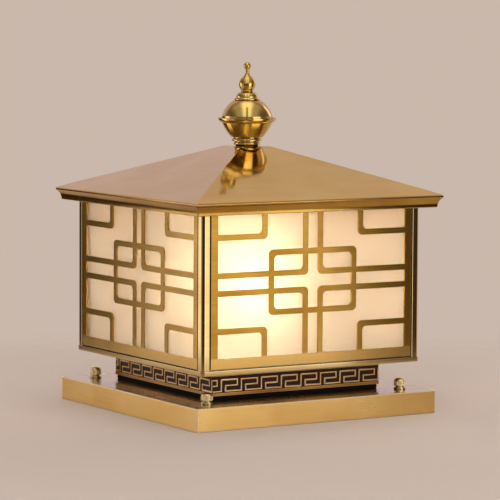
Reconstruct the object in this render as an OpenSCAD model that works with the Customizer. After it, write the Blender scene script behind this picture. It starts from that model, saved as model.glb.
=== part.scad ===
// Square pillar lantern with a lattice body, a pyramid roof and a turned finial.
// Millimetres, +Z up. The origin is the centre of the underside, which stands on the pillar.
// The front is -Y and the left is -X. Both side walls, the front and the back are alike.

/* [Base cover] */
// How far the base cover reaches out past the posts' faces
base_out = 13; // [10:0.5:30]
// Height of the base cover
base_h = 24; // [22:1:40]
// Thickness of the base cover's sheet
base_t = 1.5; // [1:0.1:2.5]
// Radius along the base cover's outer edges
base_edge_r = 2; // [1:0.1:4]
// Distance of the studs from the neck's faces
stud_out = 15.5; // [14:0.5:20]

/* [Mounting plate] */
// Thickness of the mounting plate
plate_t = 3; // [2:0.5:6]
// Gap between the mounting plate and the walls of the base cover
plate_gap = 14; // [10:0.5:16]
// Corner radius of the mounting plate
plate_r = 10; // [4:1:16]
// Spacing of the anchor holes along X and along Y
anchor_pitch = 120; // [80:1:170]
// Diameter of the anchor holes
anchor_d = 9; // [6:0.5:13]
// Diameter of the cable hole in the mounting plate
cable_hole_d = 40; // [26:1:60]

/* [Studs and cap nuts] */
// Diameter of the studs
stud_d = 6; // [5:0.5:7]
// Diameter of the stud holes in the base cover
stud_hole_d = 6.8; // [6.6:0.1:7.4]
// Outer diameter of the washers
washer_d = 13; // [12.4:0.1:15]
// Thickness of the washers
washer_t = 1.2; // [0.8:0.1:2]
// Diameter of the cap nuts over their knurled heads
nut_d = 12.4; // [11:0.1:14]
// Diameter of the cap nuts at the waist
nut_waist_d = 8.4; // [8:0.1:9.5]
// Height of the foot below the waist
nut_foot_h = 1; // [0.8:0.1:2]
// Height of the waist
nut_waist_h = 1.4; // [1:0.1:2.5]
// Height of the straight knurled part of the head
nut_head_h = 5.9; // [4.8:0.1:8]
// Height of the domed top of the head
nut_dome_h = 2.7; // [2:0.1:4]
// Number of knurl grooves round each head
nut_grooves = 20; // [12:1:30]
// Radius of the knurl grooves
knurl_r = 0.35; // [0.2:0.05:0.5]
// Depth of the stud in a cap nut
stud_grip = 8; // [5:0.1:8.2]
// Gap all round between a thread and its nut
thread_gap = 0.05; // [0.02:0.01:0.1]

/* [Neck] */
// How far the neck's faces lie behind the posts' faces
neck_in = 29.5; // [26:0.5:34]
// Height of the neck
neck_h = 25.5; // [24:0.5:40]
// Height of the black gasket under the neck
gasket_h = 4.5; // [2:0.5:8]
// Width of the gasket strip
gasket_w = 5; // [3:0.5:7]
// Thickness of the neck's sheet
neck_t = 1.5; // [1:0.1:2.5]
// Width of the neck's inward flanges
neck_flange_w = 16; // [14:0.5:20]
// Height of the plain plinth band
plinth_h = 3.3; // [2:0.1:4]
// Height of the moulding at the top of the neck
neck_top_h = 5.4; // [3:0.1:6.5]
// Height of the thin bead over the foot of the top moulding
neck_bead_up = 0.9; // [0.3:0.1:1]
// How far the thin bead on the top moulding stands out
neck_bead_out = 0.5; // [0.3:0.1:1.5]
// Height of the thin bead
neck_bead_h = 1.5; // [1:0.1:2]

/* [Greek key] */
// Thickness of the frieze strips behind the raised lines
frieze_t = 0.8; // [0.5:0.1:1.2]
// Height of the raised lines over the strip
key_relief = 0.7; // [0.4:0.1:1]
// Number of keys along one side
key_count = 8.5; // [6.5:1:10.5]
// Height of a key
key_h = 13.2; // [10:0.1:16]
// Height of the keys' feet over the plinth band
key_low = 0.6; // [0.2:0.1:1.8]
// Width of a raised line
key_line = 1.9; // [1.2:0.1:2.2]
// Distance from the end of the strip to the first upright, as a part of one key
key_start = 0.45; // [0.4:0.01:0.5]
// Place of the free end of the top line, as a part of one key
key_hook = 0.8; // [0.75:0.01:0.85]
// Place of the short lower upright, as a part of one key
key_foot = 0.22; // [0.18:0.01:0.28]

/* [Lantern body] */
// Width of the body over the corner posts
body_w = 264; // [240:1:310]
// Height of the lattice opening
open_h = 150; // [135:1:190]
// Width of the lattice border at the sides
band_side = 8; // [6:0.5:12]
// Height of the lattice border at the bottom
band_bottom = 10; // [8:0.5:14]
// Height of the lattice border at the top
band_top = 6; // [5:0.5:10]
// Thickness of the lattice sheet
lattice_t = 1.5; // [1:0.1:2]
// Shadow gap round each lattice panel
groove = 1.5; // [0.8:0.1:2.5]
// How far the lattice panels lie behind the posts' faces
lattice_set = 0.4; // [0:0.1:1]
// Width of each post's face
post_leg = 9; // [7:0.5:12]
// Radius of the posts' outer corners
post_r = 4; // [2:0.1:5]
// Thickness of the folded frame sheet
frame_t = 1.2; // [0.8:0.1:1.6]
// Width of the rebate flanges behind the lattice panels
rebate_w = 8; // [6:0.5:9]
// Height of the bottom frame's lip
lip_bottom = 5; // [3:0.1:8]
// Height of the top frame's lip
lip_top = 3.8; // [3:0.1:5]
// Thickness of the lips, which stand proud of the posts
lip_t = 0.9; // [0.6:0.1:1.2]
// Depth of the frames' horizontal webs behind the posts' faces
web_w = 18; // [17:0.5:22]

/* [Lattice pattern] */
// Width of the bars
bar_w = 6; // [4:0.1:7]
// Distance of the central bars from the centre lines
centre_bar = 9; // [7:0.5:12]
// Distance of the ring's upright bars from the centre line
ring_x = 50; // [40:0.5:51]
// Distance of the ring's level bars from the centre line
ring_z = 30.5; // [26:0.5:36]
// Distance of the corner brackets' upright bars from the centre line
bracket_x = 58; // [57:0.5:75]
// Distance of the corner brackets' level bars from the centre line
bracket_z = 47.5; // [42:0.5:56]
// Radius of the outside of a bend
bend_out_r = 5; // [3:0.1:6]
// Radius of the inside of a bend
bend_in_r = 4.5; // [2:0.1:5]

/* [Panes and clips] */
// Thickness of the frosted panes
pane_t = 3; // [2:0.5:4]
// Gap left round a pane, towards the next pane and the top frame
pane_gap = 0.5; // [0.3:0.1:1]
// Thickness of the glazing clips
clip_t = 1; // [0.6:0.1:1.2]
// Width of a glazing clip
clip_w = 14; // [10:0.5:20]
// Height of a glazing clip
clip_h = 10; // [6:0.5:10]
// Distance of the glazing clips from the middle of a side
clip_off = 70; // [50:1:90]
// Diameter of the small screws' shanks
screw_d = 3; // [2.5:0.1:3.5]
// Gap all round a screw or bolt in its hole
screw_gap = 0.15; // [0.1:0.05:0.3]

/* [Roof] */
// How far the rolled edge of the roof reaches out past the posts' faces
eave_out = 18; // [15:0.5:40]
// Width of the flat top
roof_flat_w = 36; // [30:0.5:44]
// Height of the flat top over the middle of the rolled edge
roof_rise = 49; // [42:0.5:70]
// Radius of the rolled edge
nose_r = 2; // [1.2:0.1:2.6]
// Height of the rolled edge's middle over the foot of the fascia
fascia_h = 12; // [8:0.5:20]
// How far the foot of the fascia lies behind the rolled edge
fascia_in = 5; // [4:0.1:5.5]
// How far the head of the fascia lies behind the rolled edge
fascia_step = 1.4; // [0.8:0.1:1.8]
// Radius of the hem along the foot of the fascia
hem_r = 0.9; // [0.6:0.1:1.2]
// How far the fascia hangs below the top of the body
fascia_drop = 15.3; // [14:0.1:18]
// Thickness of the roof's sheet
roof_t = 1.5; // [1:0.1:2]
// Gap between the soffit frame and the lips of the body
soffit_gap = 1.6; // [1:0.1:3]
// Thickness of the soffit frame and the rest frame
soffit_t = 1.2; // [0.8:0.1:2]
// Distance from the posts' faces to the inside of the rest frame
rest_in = 9; // [8:0.5:9.5]
// Width of the foam seal under the rest frame
seal_w = 7; // [5:0.5:8]
// Height of the foam seal
seal_h = 1.5; // [1:0.1:2]
// Thickness of the stiffening plate under the flat top
apex_t = 3; // [2:0.5:5]

/* [Crossbar and finial rod] */
// Width of the crossbar
cross_w = 30; // [24:1:40]
// Thickness of the crossbar
cross_t = 2; // [1.5:0.1:3]
// Diameter of the finial rod
rod_d = 8; // [7:0.5:9]
// How far the rod reaches below the crossbar
rod_below = 8; // [7.5:0.5:12]
// Height of the lock nuts
rod_nut_h = 6.5; // [5:0.5:7.5]
// Width of the lock nuts across the flats
rod_nut_af = 13; // [12:0.5:16]
// Gap all round the rod in the crossbar, the roof and its plates
rod_hole_gap = 0.5; // [0.3:0.1:1]

/* [Finial] */
// Thickness of the washer under the finial
seal_washer_t = 1.2; // [0.8:0.1:2]
// Height of the collar
collar_h = 8.2; // [6:0.1:12]
// Radius of the collar's bottom ring
collar_r = 12.5; // [11:0.1:15]
// Radius of the collar's bead
collar_bead_r = 14; // [13:0.1:16]
// Radius of the bowl at its foot
bowl_foot_r = 16.2; // [15:0.1:18]
// Radius of the bowl at its mouth
bowl_r = 25.9; // [22:0.1:27]
// Height of the bowl
bowl_h = 15.1; // [12:0.1:20]
// Radius of the upturned rim
rim_r = 31; // [29:0.1:35]
// Height of the upturned rim
rim_h = 5; // [4:0.1:7]
// Radius of the dome at its foot
dome_r = 27; // [26:0.1:28]
// Radius of the dome at its top
dome_top_r = 15.3; // [13.5:0.1:18]
// Height of the dome
dome_h = 21.8; // [18:0.1:28]
// Radius of the bead over the dome
bead_r = 12.8; // [11:0.1:15]
// Height of the bead
bead_h = 3.2; // [2:0.1:4]
// Height of the small dome over the bead
small_dome_h = 6; // [4:0.1:9]
// Radius of the small dome at its foot
small_dome_r = 10.7; // [9:0.1:12]
// Radius of the ring at the teardrop's foot
tip_ring_r = 5.8; // [5.5:0.1:7]
// Height of that ring
tip_ring_h = 2.3; // [1.5:0.1:4]
// Largest radius of the teardrop
drop_r = 8.8; // [7.5:0.1:11]
// Height of the teardrop below its widest place
drop_low_h = 6.3; // [4:0.1:9]
// Height of the teardrop above its widest place
drop_high_h = 11.6; // [9:0.1:18]
// Height of the thin neck under the ball
drop_neck_h = 4.2; // [2:0.1:8]
// Radius of that thin neck
drop_neck_r = 2.3; // [1.8:0.1:3]
// Radius of the ball at the tip
ball_r = 4; // [3:0.1:6]
// Wall of the spun bowl, rim and dome
spun_t = 1.4; // [1:0.1:1.8]
// Gap all round the rod in the finial's pieces
finial_gap = 0.08; // [0.05:0.01:0.1]

/* [Lamp] */
// Height of the bracket's middle over the floor
bracket_rise = 3.5; // [3:0.1:6]
// Thickness of the bracket
bracket_t = 1.5; // [1:0.1:2]
// Radius of the lampholder's foot
holder_foot_r = 21; // [20:0.5:24]
// Radius of the lampholder's body
holder_r = 19.5; // [17.5:0.5:21]
// Height of the lampholder
holder_h = 40; // [37:0.5:48]
// Depth of the lampholder's socket
socket_depth = 31.5; // [29:0.5:33]
// Radius of the screw cap of the bulb
cap_r = 13.2; // [13:0.1:13.5]
// Gap all round between the screw cap and the threaded shell
cap_gap = 0.3; // [0.2:0.05:0.6]
// Wall of the threaded shell
shell_t = 0.6; // [0.4:0.1:0.8]
// Radius of the bulb
bulb_r = 28; // [24:0.5:34]
// Length of the bulb with its cap
bulb_l = 100; // [92:1:120]
// Length of the screw cap with its contact
cap_l = 25; // [22:0.5:27]

/* [Wiring] */
// Radius of the cable passage in the gland
gland_bore_r = 4.5; // [3:0.1:5.5]
// Radius of the gland's thread
gland_r = 8; // [7:0.1:9]
// Distance of the terminal block from the centre line
block_x = 40; // [32:1:50]
// Height of the terminal block
block_h = 14; // [12:0.5:15]
// Distance between the poles of the terminal block
pole_pitch = 9; // [8:0.5:11]
// Radius of a lead
lead_r = 1.2; // [0.9:0.1:1.5]
// Radius of the leads' bends
lead_bend = 5; // [3.5:0.5:5]
// Distance of the leads' rise from the centre line
lead_x = 12; // [9:0.5:14]
// Distance of the earth lead's rise from the inner edge of the neck's flanges
earth_in = 15; // [13:0.5:20]

/* [Hidden] */
$fn = 64;

// Colours of the finishes
brass_satin = [0.80, 0.65, 0.40];
brass_dark = [0.55, 0.39, 0.17];
brass_key = [0.30, 0.16, 0.09];
steel = [0.70, 0.70, 0.70];
frosted = [0.97, 0.91, 0.80];

// A small length by which a cut runs past the face that it cuts
past = 1;

// Room left past the end of a thread in a blind hole, and what a screw shows past its last sheet
blind_gap = 0.4;
screw_tail = 0.8;
screw_head_d = 2 * screw_d - 0.6;
screw_head_h = 1.6;
half_turn = 180;
quarter = 90;

// Heights, from the pillar up
neck_z = base_h + gasket_h;
body_z = neck_z + neck_h;
web_top = body_z + frame_t;
floor_top = web_top + frame_t;
panel_z = body_z + lip_bottom + groove;
open_z = panel_z + band_bottom;
open_mid = open_z + open_h / 2;
panel_top = open_z + open_h + band_top;
body_top = panel_top + groove + lip_top;
web_under = body_top - frame_t;
hem_z = body_top - fascia_drop;
nose_z = hem_z + fascia_h;
flat_z = nose_z + roof_rise;
cross_z = web_under - cross_t;

// Widths that follow the body's
base_w = body_w + 2 * base_out;
neck_w = body_w - 2 * neck_in;
roof_w = body_w + 2 * eave_out;

// Half widths
stud_off = neck_w / 2 + stud_out;
neck_core = neck_w / 2 - frieze_t - key_relief;
body_half = body_w / 2;
panel_half = body_half - post_leg - groove;
open_half = panel_half - band_side;
rebate_u = lattice_set + lattice_t;
pane_u = rebate_u + frame_t;
clip_u = pane_u + pane_t;
web_half = body_half - web_w;
floor_gap = 2;
floor_half = web_half - floor_gap;
pane_half = body_half - clip_u - pane_gap;
clip_end_u = web_w - 3;
screw_u = (clip_u + clip_t + clip_end_u) / 2;

// Neck bolts
bolt_r = 2.5;
bolt_head_r = 4.6;
bolt_head_h = 3;
bolt_nut_h = 4;
bolt_tail = 1.5;
bolt_clear = 1.5;
bolt_off = neck_core - gasket_w - bolt_r - bolt_clear;
flange_half = neck_core - neck_flange_w;

// Roof slope: the straight part touches the rolled edge and passes through the edge of the flat top
nose_x = roof_w / 2 - nose_r;
slope_run = nose_x - roof_flat_w / 2;
slope_a = atan2(roof_rise, slope_run) - asin(nose_r / norm([slope_run, roof_rise]));
function roof_under(h) = flat_z - (h - roof_flat_w / 2) * tan(slope_a) - roof_t / cos(slope_a);
function roof_under_half(z) = roof_flat_w / 2 + (flat_z - roof_t / cos(slope_a) - z) / tan(slope_a);

// Finial, from the flat top up
collar_z = flat_z + seal_washer_t;
bowl_z = collar_z + collar_h;
rim_z = bowl_z + bowl_h;
dome_z = rim_z + spun_t;
bead_z = dome_z + dome_h;
tip_z = bead_z + bead_h + small_dome_h;
drop_z = tip_z + tip_ring_h;
ball_under_a = acos(drop_neck_r / ball_r);
ball_z = drop_z + drop_low_h + drop_high_h + drop_neck_h + ball_r * sin(ball_under_a);
rod_over = 2;
rod_top = drop_z + drop_low_h + rod_over;
rod_r = rod_d / 2;
finial_bore_r = rod_r + finial_gap;
rod_hole_r = rod_r + rod_hole_gap;

// Lamp
holder_z = floor_top + bracket_rise;
socket_z = holder_z + holder_h - socket_depth;
contact_h = 3;
contact_r = 4;
cap_float = 0.1;
bulb_z = socket_z + contact_h + cap_float;
socket_r = cap_r + cap_gap + shell_t;
insulator_h = 3;
cap_top = bulb_z + cap_l;
bulb_mid = bulb_z + bulb_l - bulb_r;
bracket_w = 32;
bracket_half = 45;
bracket_foot = 13;
bracket_screw_x = bracket_half - bracket_foot / 2;
holder_screw_y = 10.2;

// Wiring
lead_drop = 8;
lead_z = body_z - lead_drop;
lead_slot_r = 3.5;
pole_r = 2.5;
block_w = 16;
block_end = 1;
insert_h = 6;
insert_z = base_h + insert_h;
earth_x = flange_half - earth_in;
lug_t = 1;
lug_w = 8;
lug_screw = 7.5;

// Outline helpers
function bulge(p, q, sag, n = 8) =
    let (d = q - p, side = [d[1], -d[0]] / norm(d))
    [for (i = [0:n]) let (t = i / n) p + d * t + side * sag * 4 * t * (1 - t)];
function oval(rx, rz, z, from, to, n = 10) =
    [for (i = [0:n]) let (a = from + (to - from) * i / n) [rx * cos(a), z + rz * sin(a)]];
function s_curve(r0, r1, z0, z1, n = 12) =
    [for (i = [0:n]) let (t = i / n) [r1 + (r0 - r1) * (1 + cos(half_turn * t)) / 2, z0 + (z1 - z0) * t]];
function backwards(list) = [for (i = [len(list) - 1:-1:0]) list[i]];

// Shapes used by several pieces
module square_mid(w) {
    translate([-w / 2, -w / 2]) square(w);
}

module rounded_square(w, r) {
    translate([-w / 2 + r, -w / 2]) square([w - 2 * r, w]);
    translate([-w / 2, -w / 2 + r]) square([w, w - 2 * r]);
    for (x = [-1, 1], y = [-1, 1]) translate([x * (w / 2 - r), y * (w / 2 - r)]) circle(r);
}

module square_ring(outer, inner, z, h) {
    translate([0, 0, z]) linear_extrude(h) difference() {
        square_mid(2 * outer);
        square_mid(2 * inner);
    }
}

module tube(r_out, r_in, z, h) {
    translate([0, 0, z]) difference() {
        cylinder(r = r_out, h = h);
        translate([0, 0, -past]) cylinder(r = r_in, h = h + 2 * past);
    }
}

module at_corners(off) {
    for (x = [-1, 1], y = [-1, 1]) translate([x * off, y * off, 0]) children();
}

module on_each_side() {
    for (a = [0:quarter:270]) rotate([0, 0, a]) children();
}

// A flat drawing, x across and y up, stood up as a sheet behind the front face of the body
module stand_front(face, t) {
    translate([0, -face + t, 0]) rotate([quarter, 0, 0]) linear_extrude(t) children();
}

// Block with rounded upright edges and rounded top edges
module rounded_block(w, h, r) {
    side = w / 2 - r;
    translate([-side, -w / 2, 0]) cube([2 * side, w, h - r]);
    translate([-w / 2, -side, 0]) cube([w, 2 * side, h - r]);
    translate([-side, -side, 0]) cube([2 * side, 2 * side, h]);
    at_corners(side) {
        cylinder(r = r, h = h - r);
        translate([0, 0, h - r]) sphere(r);
    }
    for (s = [-1, 1]) {
        translate([-side, s * side, h - r]) rotate([0, quarter, 0]) cylinder(r = r, h = 2 * side);
        translate([s * side, -side, h - r]) rotate([-quarter, 0, 0]) cylinder(r = r, h = 2 * side);
    }
}

// Base
module mounting_plate() color(steel) {
    hole_z = -past;
    difference() {
        linear_extrude(plate_t) rounded_square(base_w - 2 * (base_t + plate_gap), plate_r);
        translate([0, 0, hole_z]) cylinder(d = cable_hole_d, h = plate_t + 2 * past);
        at_corners(anchor_pitch / 2) translate([0, 0, hole_z]) cylinder(d = anchor_d, h = plate_t + 2 * past);
    }
    at_corners(stud_off) translate([0, 0, plate_t / 2])
        cylinder(d = stud_d, h = base_h + washer_t + stud_grip - plate_t / 2);
}

module base_cover() color(brass_satin) difference() {
    rounded_block(base_w, base_h, base_edge_r);
    translate([0, 0, -past]) linear_extrude(base_h - base_t + past) square_mid(base_w - 2 * base_t);
    at_corners(stud_off) cylinder(d = stud_hole_d, h = base_h + past);
    at_corners(bolt_off) cylinder(r = bolt_r + screw_gap, h = base_h + past);
    cylinder(r = gland_r + screw_gap, h = base_h + past);
}

module stud_washers() color(brass_satin) {
    at_corners(stud_off) tube(washer_d / 2, stud_hole_d / 2, base_h, washer_t);
}

module cap_nut(x, y) color(brass_satin) {
    head_z = nut_foot_h + nut_waist_h;
    dome_foot = head_z + nut_head_h;
    head_r = nut_d / 2;
    chamfer = 0.5;
    translate([x * stud_off, y * stud_off, base_h + washer_t]) difference() {
        rotate_extrude() polygon(concat(
            [[0, 0], [head_r - chamfer / 2, 0], [head_r - chamfer / 2, nut_foot_h], [nut_waist_d / 2, nut_foot_h],
             [nut_waist_d / 2, head_z], [head_r - chamfer, head_z], [head_r, head_z + chamfer],
             [head_r, dome_foot - chamfer], [head_r - chamfer, dome_foot]],
            oval(head_r - chamfer, nut_dome_h, dome_foot, 10, quarter, 8)));
        translate([0, 0, -past]) cylinder(d = stud_d + 2 * thread_gap, h = stud_grip + blind_gap + past);
        for (i = [1:nut_grooves]) rotate([0, 0, i * 360 / nut_grooves])
            translate([head_r, 0, head_z]) cylinder(r = knurl_r, h = nut_head_h, $fn = 16);
    }
}

// Neck
module neck_gasket() color([0.08, 0.08, 0.08]) {
    square_ring(neck_core, neck_core - gasket_w, base_h, gasket_h);
}

module neck_box() color(brass_dark) difference() {
    union() {
        square_ring(neck_core, neck_core - neck_t, neck_z, neck_h);
        square_ring(neck_w / 2, neck_core - neck_t, neck_z, plinth_h);
        square_ring(neck_w / 2, neck_core - neck_t, body_z - neck_top_h, neck_top_h);
        square_ring(neck_w / 2 + neck_bead_out, neck_core - neck_t, body_z - neck_top_h + neck_bead_up, neck_bead_h);
        for (z = [neck_z, body_z - neck_t]) square_ring(neck_core, flange_half, z, neck_t);
    }
    at_corners(bolt_off) cylinder(r = bolt_r + screw_gap, h = body_z + past);
}

// A bolt with its head up and a nut below, clamping what lies between two heights
module bolt_set(low, high) {
    translate([0, 0, low - bolt_nut_h - bolt_tail]) cylinder(r = bolt_r, h = high - low + bolt_nut_h + bolt_tail);
    translate([0, 0, high]) cylinder(r = bolt_head_r, h = bolt_head_h, $fn = 6);
    translate([0, 0, low - bolt_nut_h]) difference() {
        cylinder(r = bolt_head_r, h = bolt_nut_h, $fn = 6);
        translate([0, 0, -past]) cylinder(r = bolt_r + thread_gap, h = bolt_nut_h + 2 * past);
    }
}

module neck_bolts() color(steel) {
    at_corners(bolt_off) bolt_set(base_h - base_t, neck_z + neck_t);
    at_corners(bolt_off) bolt_set(body_z - neck_t, floor_top);
}

// One side of the frieze: a strip with the raised line of a Greek key
module frieze(a) color(brass_key) {
    strip_z = neck_z + plinth_h;
    strip_h = neck_h - plinth_h - neck_top_h;
    strip_half = neck_core + frieze_t;
    step = neck_w / key_count;
    key_z = strip_z + key_low;
    top = key_h - key_line;
    middle = top / 2;
    hook = key_hook * step;
    foot = key_foot * step;
    rotate([0, 0, a]) {
        stand_front(neck_core + frieze_t, frieze_t) translate([-neck_core, strip_z])
            square([neck_core + strip_half, strip_h]);
        stand_front(neck_core + frieze_t + key_relief, key_relief) intersection() {
            translate([-strip_half, key_z]) square([2 * strip_half, key_h]);
            translate([-neck_w / 2 + (key_start - 1) * step - key_line / 2, key_z])
            for (i = [0:ceil(key_count)]) translate([i * step, 0]) {
                square([key_line, key_h]);
                translate([0, top]) square([hook + key_line, key_line]);
                translate([hook, middle]) square([key_line, top - middle]);
                translate([foot, middle]) square([hook - foot + key_line, key_line]);
                translate([foot, 0]) square([key_line, middle + key_line]);
                translate([foot, 0]) square([step - foot + key_line / 2, key_line]);
            }
        }
    }
}

// Frame of the lantern body
module post_outline() {
    inner_r = max(post_r - frame_t, 0.2);
    flange_end = post_leg + rebate_w;
    difference() {
        union() {
            translate([post_r, 0]) square([post_leg - post_r, post_leg]);
            translate([0, post_r]) square([post_leg, post_leg - post_r]);
            translate([post_r, post_r]) circle(post_r);
        }
        translate([frame_t + inner_r, frame_t]) square([post_leg, post_leg + past]);
        translate([frame_t, frame_t + inner_r]) square([post_leg + past, post_leg]);
        translate([frame_t + inner_r, frame_t + inner_r]) circle(inner_r);
    }
    for (turn = [0, 1]) mirror([turn, -turn]) {
        translate([post_leg - frame_t, 0]) square([frame_t, pane_u]);
        translate([post_leg - frame_t, rebate_u]) square([flange_end - post_leg + frame_t, frame_t]);
    }
}

module corner_post(a) color(brass_satin) {
    rotate([0, 0, a]) translate([-body_half, -body_half, web_top])
        linear_extrude(web_under - web_top) post_outline();
}

// A frame's web and lip; the rebate flange stands on or hangs from the web between the posts
module frame_ring(web_z, web_in, lip_z, lip_h, flange_z, flange_h) {
    between = body_half - post_leg - rebate_w;
    translate([0, 0, web_z]) linear_extrude(frame_t) difference() {
        rounded_square(body_w + 2 * lip_t, post_r + lip_t);
        square_mid(2 * web_in);
    }
    translate([0, 0, lip_z]) linear_extrude(lip_h) difference() {
        rounded_square(body_w + 2 * lip_t, post_r + lip_t);
        rounded_square(body_w, post_r);
    }
    on_each_side() stand_front(body_half - rebate_u, frame_t)
        translate([-between, flange_z]) square([2 * between, flange_h]);
}

module clip_holes(z) {
    on_each_side() for (x = [-1, 1])
        translate([x * clip_off, -body_half + screw_u, z]) cylinder(d = screw_d + 2 * screw_gap, h = 3 * frame_t);
}

module bottom_frame() color(brass_satin) difference() {
    frame_ring(body_z, flange_half, body_z, lip_bottom, web_top, lip_bottom + groove + band_bottom / 2 - frame_t);
    clip_holes(body_z - frame_t);
    at_corners(bolt_off) cylinder(r = bolt_r + screw_gap, h = web_top + past);
}

module top_frame() color(brass_satin) difference() {
    flange_z = panel_top - band_top * 0.7;
    frame_ring(web_under, web_half, body_top - lip_top, lip_top, flange_z, web_under - flange_z);
    clip_holes(web_under - frame_t);
    crossbar_holes(web_under - frame_t, 3 * frame_t);
}

module lantern_floor() color(steel) difference() {
    hole_z = web_top - past;
    hole_h = frame_t + 2 * past;
    translate([0, 0, web_top]) linear_extrude(frame_t) square_mid(2 * floor_half);
    at_corners(bolt_off) cylinder(r = bolt_r + screw_gap, h = floor_top + past);
    lead_slot(hole_z, hole_h);
    for (x = [-bracket_screw_x, bracket_screw_x, earth_x + lug_screw]) translate([x, 0, hole_z])
        cylinder(d = screw_d + 2 * screw_gap, h = hole_h);
}

// Slot for the two lamp leads
module lead_slot(z, h) {
    translate([lead_x, 0, z]) {
        translate([-lead_slot_r, -pole_pitch, 0]) cube([2 * lead_slot_r, 2 * pole_pitch, h]);
        for (y = [-1, 1]) translate([0, y * pole_pitch, 0]) cylinder(r = lead_slot_r, h = h);
    }
}

// Lattice: the corner of a bar that fills the space left of and above a point
module rounded_corner(x, y, r, far) {
    translate([-far, y]) square([far + x - r, far]);
    translate([-far, y + r]) square([far + x, far]);
    translate([x - r, y + r]) circle(r);
}

module bent_bar(x, y) {
    far = body_w + open_h;
    difference() {
        rounded_corner(-x + bar_w / 2, y - bar_w / 2, bend_out_r, far);
        rounded_corner(-x - bar_w / 2, y + bar_w / 2, bend_in_r, far);
    }
}

module rounded_rect(w, h, r) {
    translate([-w / 2 + r, -h / 2]) square([w - 2 * r, h]);
    translate([-w / 2, -h / 2 + r]) square([w, h - 2 * r]);
    for (x = [-1, 1], y = [-1, 1]) translate([x * (w / 2 - r), y * (h / 2 - r)]) circle(r);
}

module lattice_outline() {
    difference() {
        translate([-panel_half, panel_z]) square([2 * panel_half, panel_top - panel_z]);
        translate([-open_half, open_z]) square([2 * open_half, open_h]);
    }
    intersection() {
        translate([-panel_half, panel_z]) square([2 * panel_half, panel_top - panel_z]);
        translate([0, open_mid]) {
            for (flip_x = [0, 1], flip_y = [0, 1]) mirror([flip_x, 0]) mirror([0, flip_y]) {
                bent_bar(centre_bar, centre_bar);
                bent_bar(bracket_x, bracket_z);
            }
            difference() {
                rounded_rect(2 * ring_x + bar_w, 2 * ring_z + bar_w, bend_out_r);
                rounded_rect(2 * ring_x - bar_w, 2 * ring_z - bar_w, bend_in_r);
            }
        }
    }
}

module lattice(a) color(brass_dark) {
    rotate([0, 0, a]) stand_front(body_half - lattice_set, lattice_t) lattice_outline();
}

module pane(a) color(frosted) {
    rotate([0, 0, a]) stand_front(body_half - pane_u, pane_t)
        translate([-pane_half, web_top]) square([2 * pane_half, web_under - web_top - pane_gap]);
}

// Clips: a foot on the web and a leg against the inside of the pane
module clip(foot_z, leg_z) {
    foot = clip_end_u - clip_u;
    difference() {
        translate([-clip_w / 2, -body_half + clip_u, foot_z]) cube([clip_w, foot, clip_t]);
        translate([0, -body_half + screw_u, foot_z - past])
            cylinder(d = screw_d + 2 * screw_gap, h = clip_t + 2 * past);
    }
    translate([-clip_w / 2, -body_half + clip_u, leg_z]) cube([clip_w, clip_t, clip_h]);
}

module glazing_clips() color(steel) {
    on_each_side() for (x = [-1, 1]) translate([x * clip_off, 0, 0]) {
        clip(web_top, web_top);
        clip(web_under - clip_t, web_under - clip_h);
    }
}

// A pan-head screw with its head up
module screw(l) {
    translate([0, 0, -l]) cylinder(d = screw_d, h = l);
    cylinder(d = screw_head_d, h = screw_head_h);
}

module clip_screws() color(steel) {
    length = clip_t + frame_t + screw_tail;
    on_each_side() for (x = [-1, 1]) translate([x * clip_off, -body_half + screw_u, 0]) {
        translate([0, 0, web_top + clip_t]) screw(length);
        translate([0, 0, web_under - clip_t]) mirror([0, 0, 1]) screw(length);
    }
}

// Crossbar and finial rod
cross_gap = 1.5;
cross_half = body_half - clip_u - clip_t - cross_gap;
cross_screw_x = (web_half + body_half - rest_in) / 2;
cross_screw_y = cross_w * 0.3;

module crossbar_holes(z, h) {
    for (x = [-1, 1], y = [-1, 1]) translate([x * cross_screw_x, y * cross_screw_y, z])
        cylinder(d = screw_d + 2 * screw_gap, h = h);
}

module crossbar() color(steel) difference() {
    translate([-cross_half, -cross_w / 2, cross_z]) cube([2 * cross_half, cross_w, cross_t]);
    crossbar_holes(cross_z - past, cross_t + 2 * past);
    translate([0, 0, cross_z - past]) cylinder(r = rod_hole_r, h = cross_t + 2 * past);
}

module crossbar_screws() color(steel) {
    for (x = [-1, 1], y = [-1, 1]) translate([x * cross_screw_x, y * cross_screw_y, body_top])
        screw(frame_t + cross_t + screw_tail);
}

module finial_rod() color(steel) {
    translate([0, 0, cross_z - rod_below]) cylinder(r = rod_r, h = rod_top - cross_z + rod_below);
}

module rod_nuts() color(steel) {
    for (z = [cross_z - rod_nut_h, cross_z + cross_t]) translate([0, 0, z]) difference() {
        cylinder(d = rod_nut_af / cos(30), h = rod_nut_h, $fn = 6);
        translate([0, 0, -past]) cylinder(r = rod_r + thread_gap, h = rod_nut_h + 2 * past);
    }
}

// Roof
module mirrored_outline() {
    children();
    mirror([1, 0]) children();
}

// The same outline drawn across X and across Y, and the space that both share
module mitred(length) {
    intersection_for (a = [0, quarter]) rotate([0, 0, a])
        translate([0, length / 2, 0]) rotate([quarter, 0, 0]) linear_extrude(length) children();
}

hem_x = roof_w / 2 - fascia_in;
head_x = roof_w / 2 - fascia_step;
fascia_t = roof_t / cos(atan2(head_x - hem_x, fascia_h));

module roof_outside() mirrored_outline() {
    polygon([
        [0, hem_z], [hem_x, hem_z], [head_x, nose_z],
        [nose_x + nose_r * sin(slope_a), nose_z + nose_r * cos(slope_a)],
        [roof_flat_w / 2, flat_z], [0, flat_z]
    ]);
    translate([nose_x, nose_z]) circle(nose_r);
    translate([hem_x - hem_r / 2, hem_z + hem_r]) circle(hem_r);
}

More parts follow.
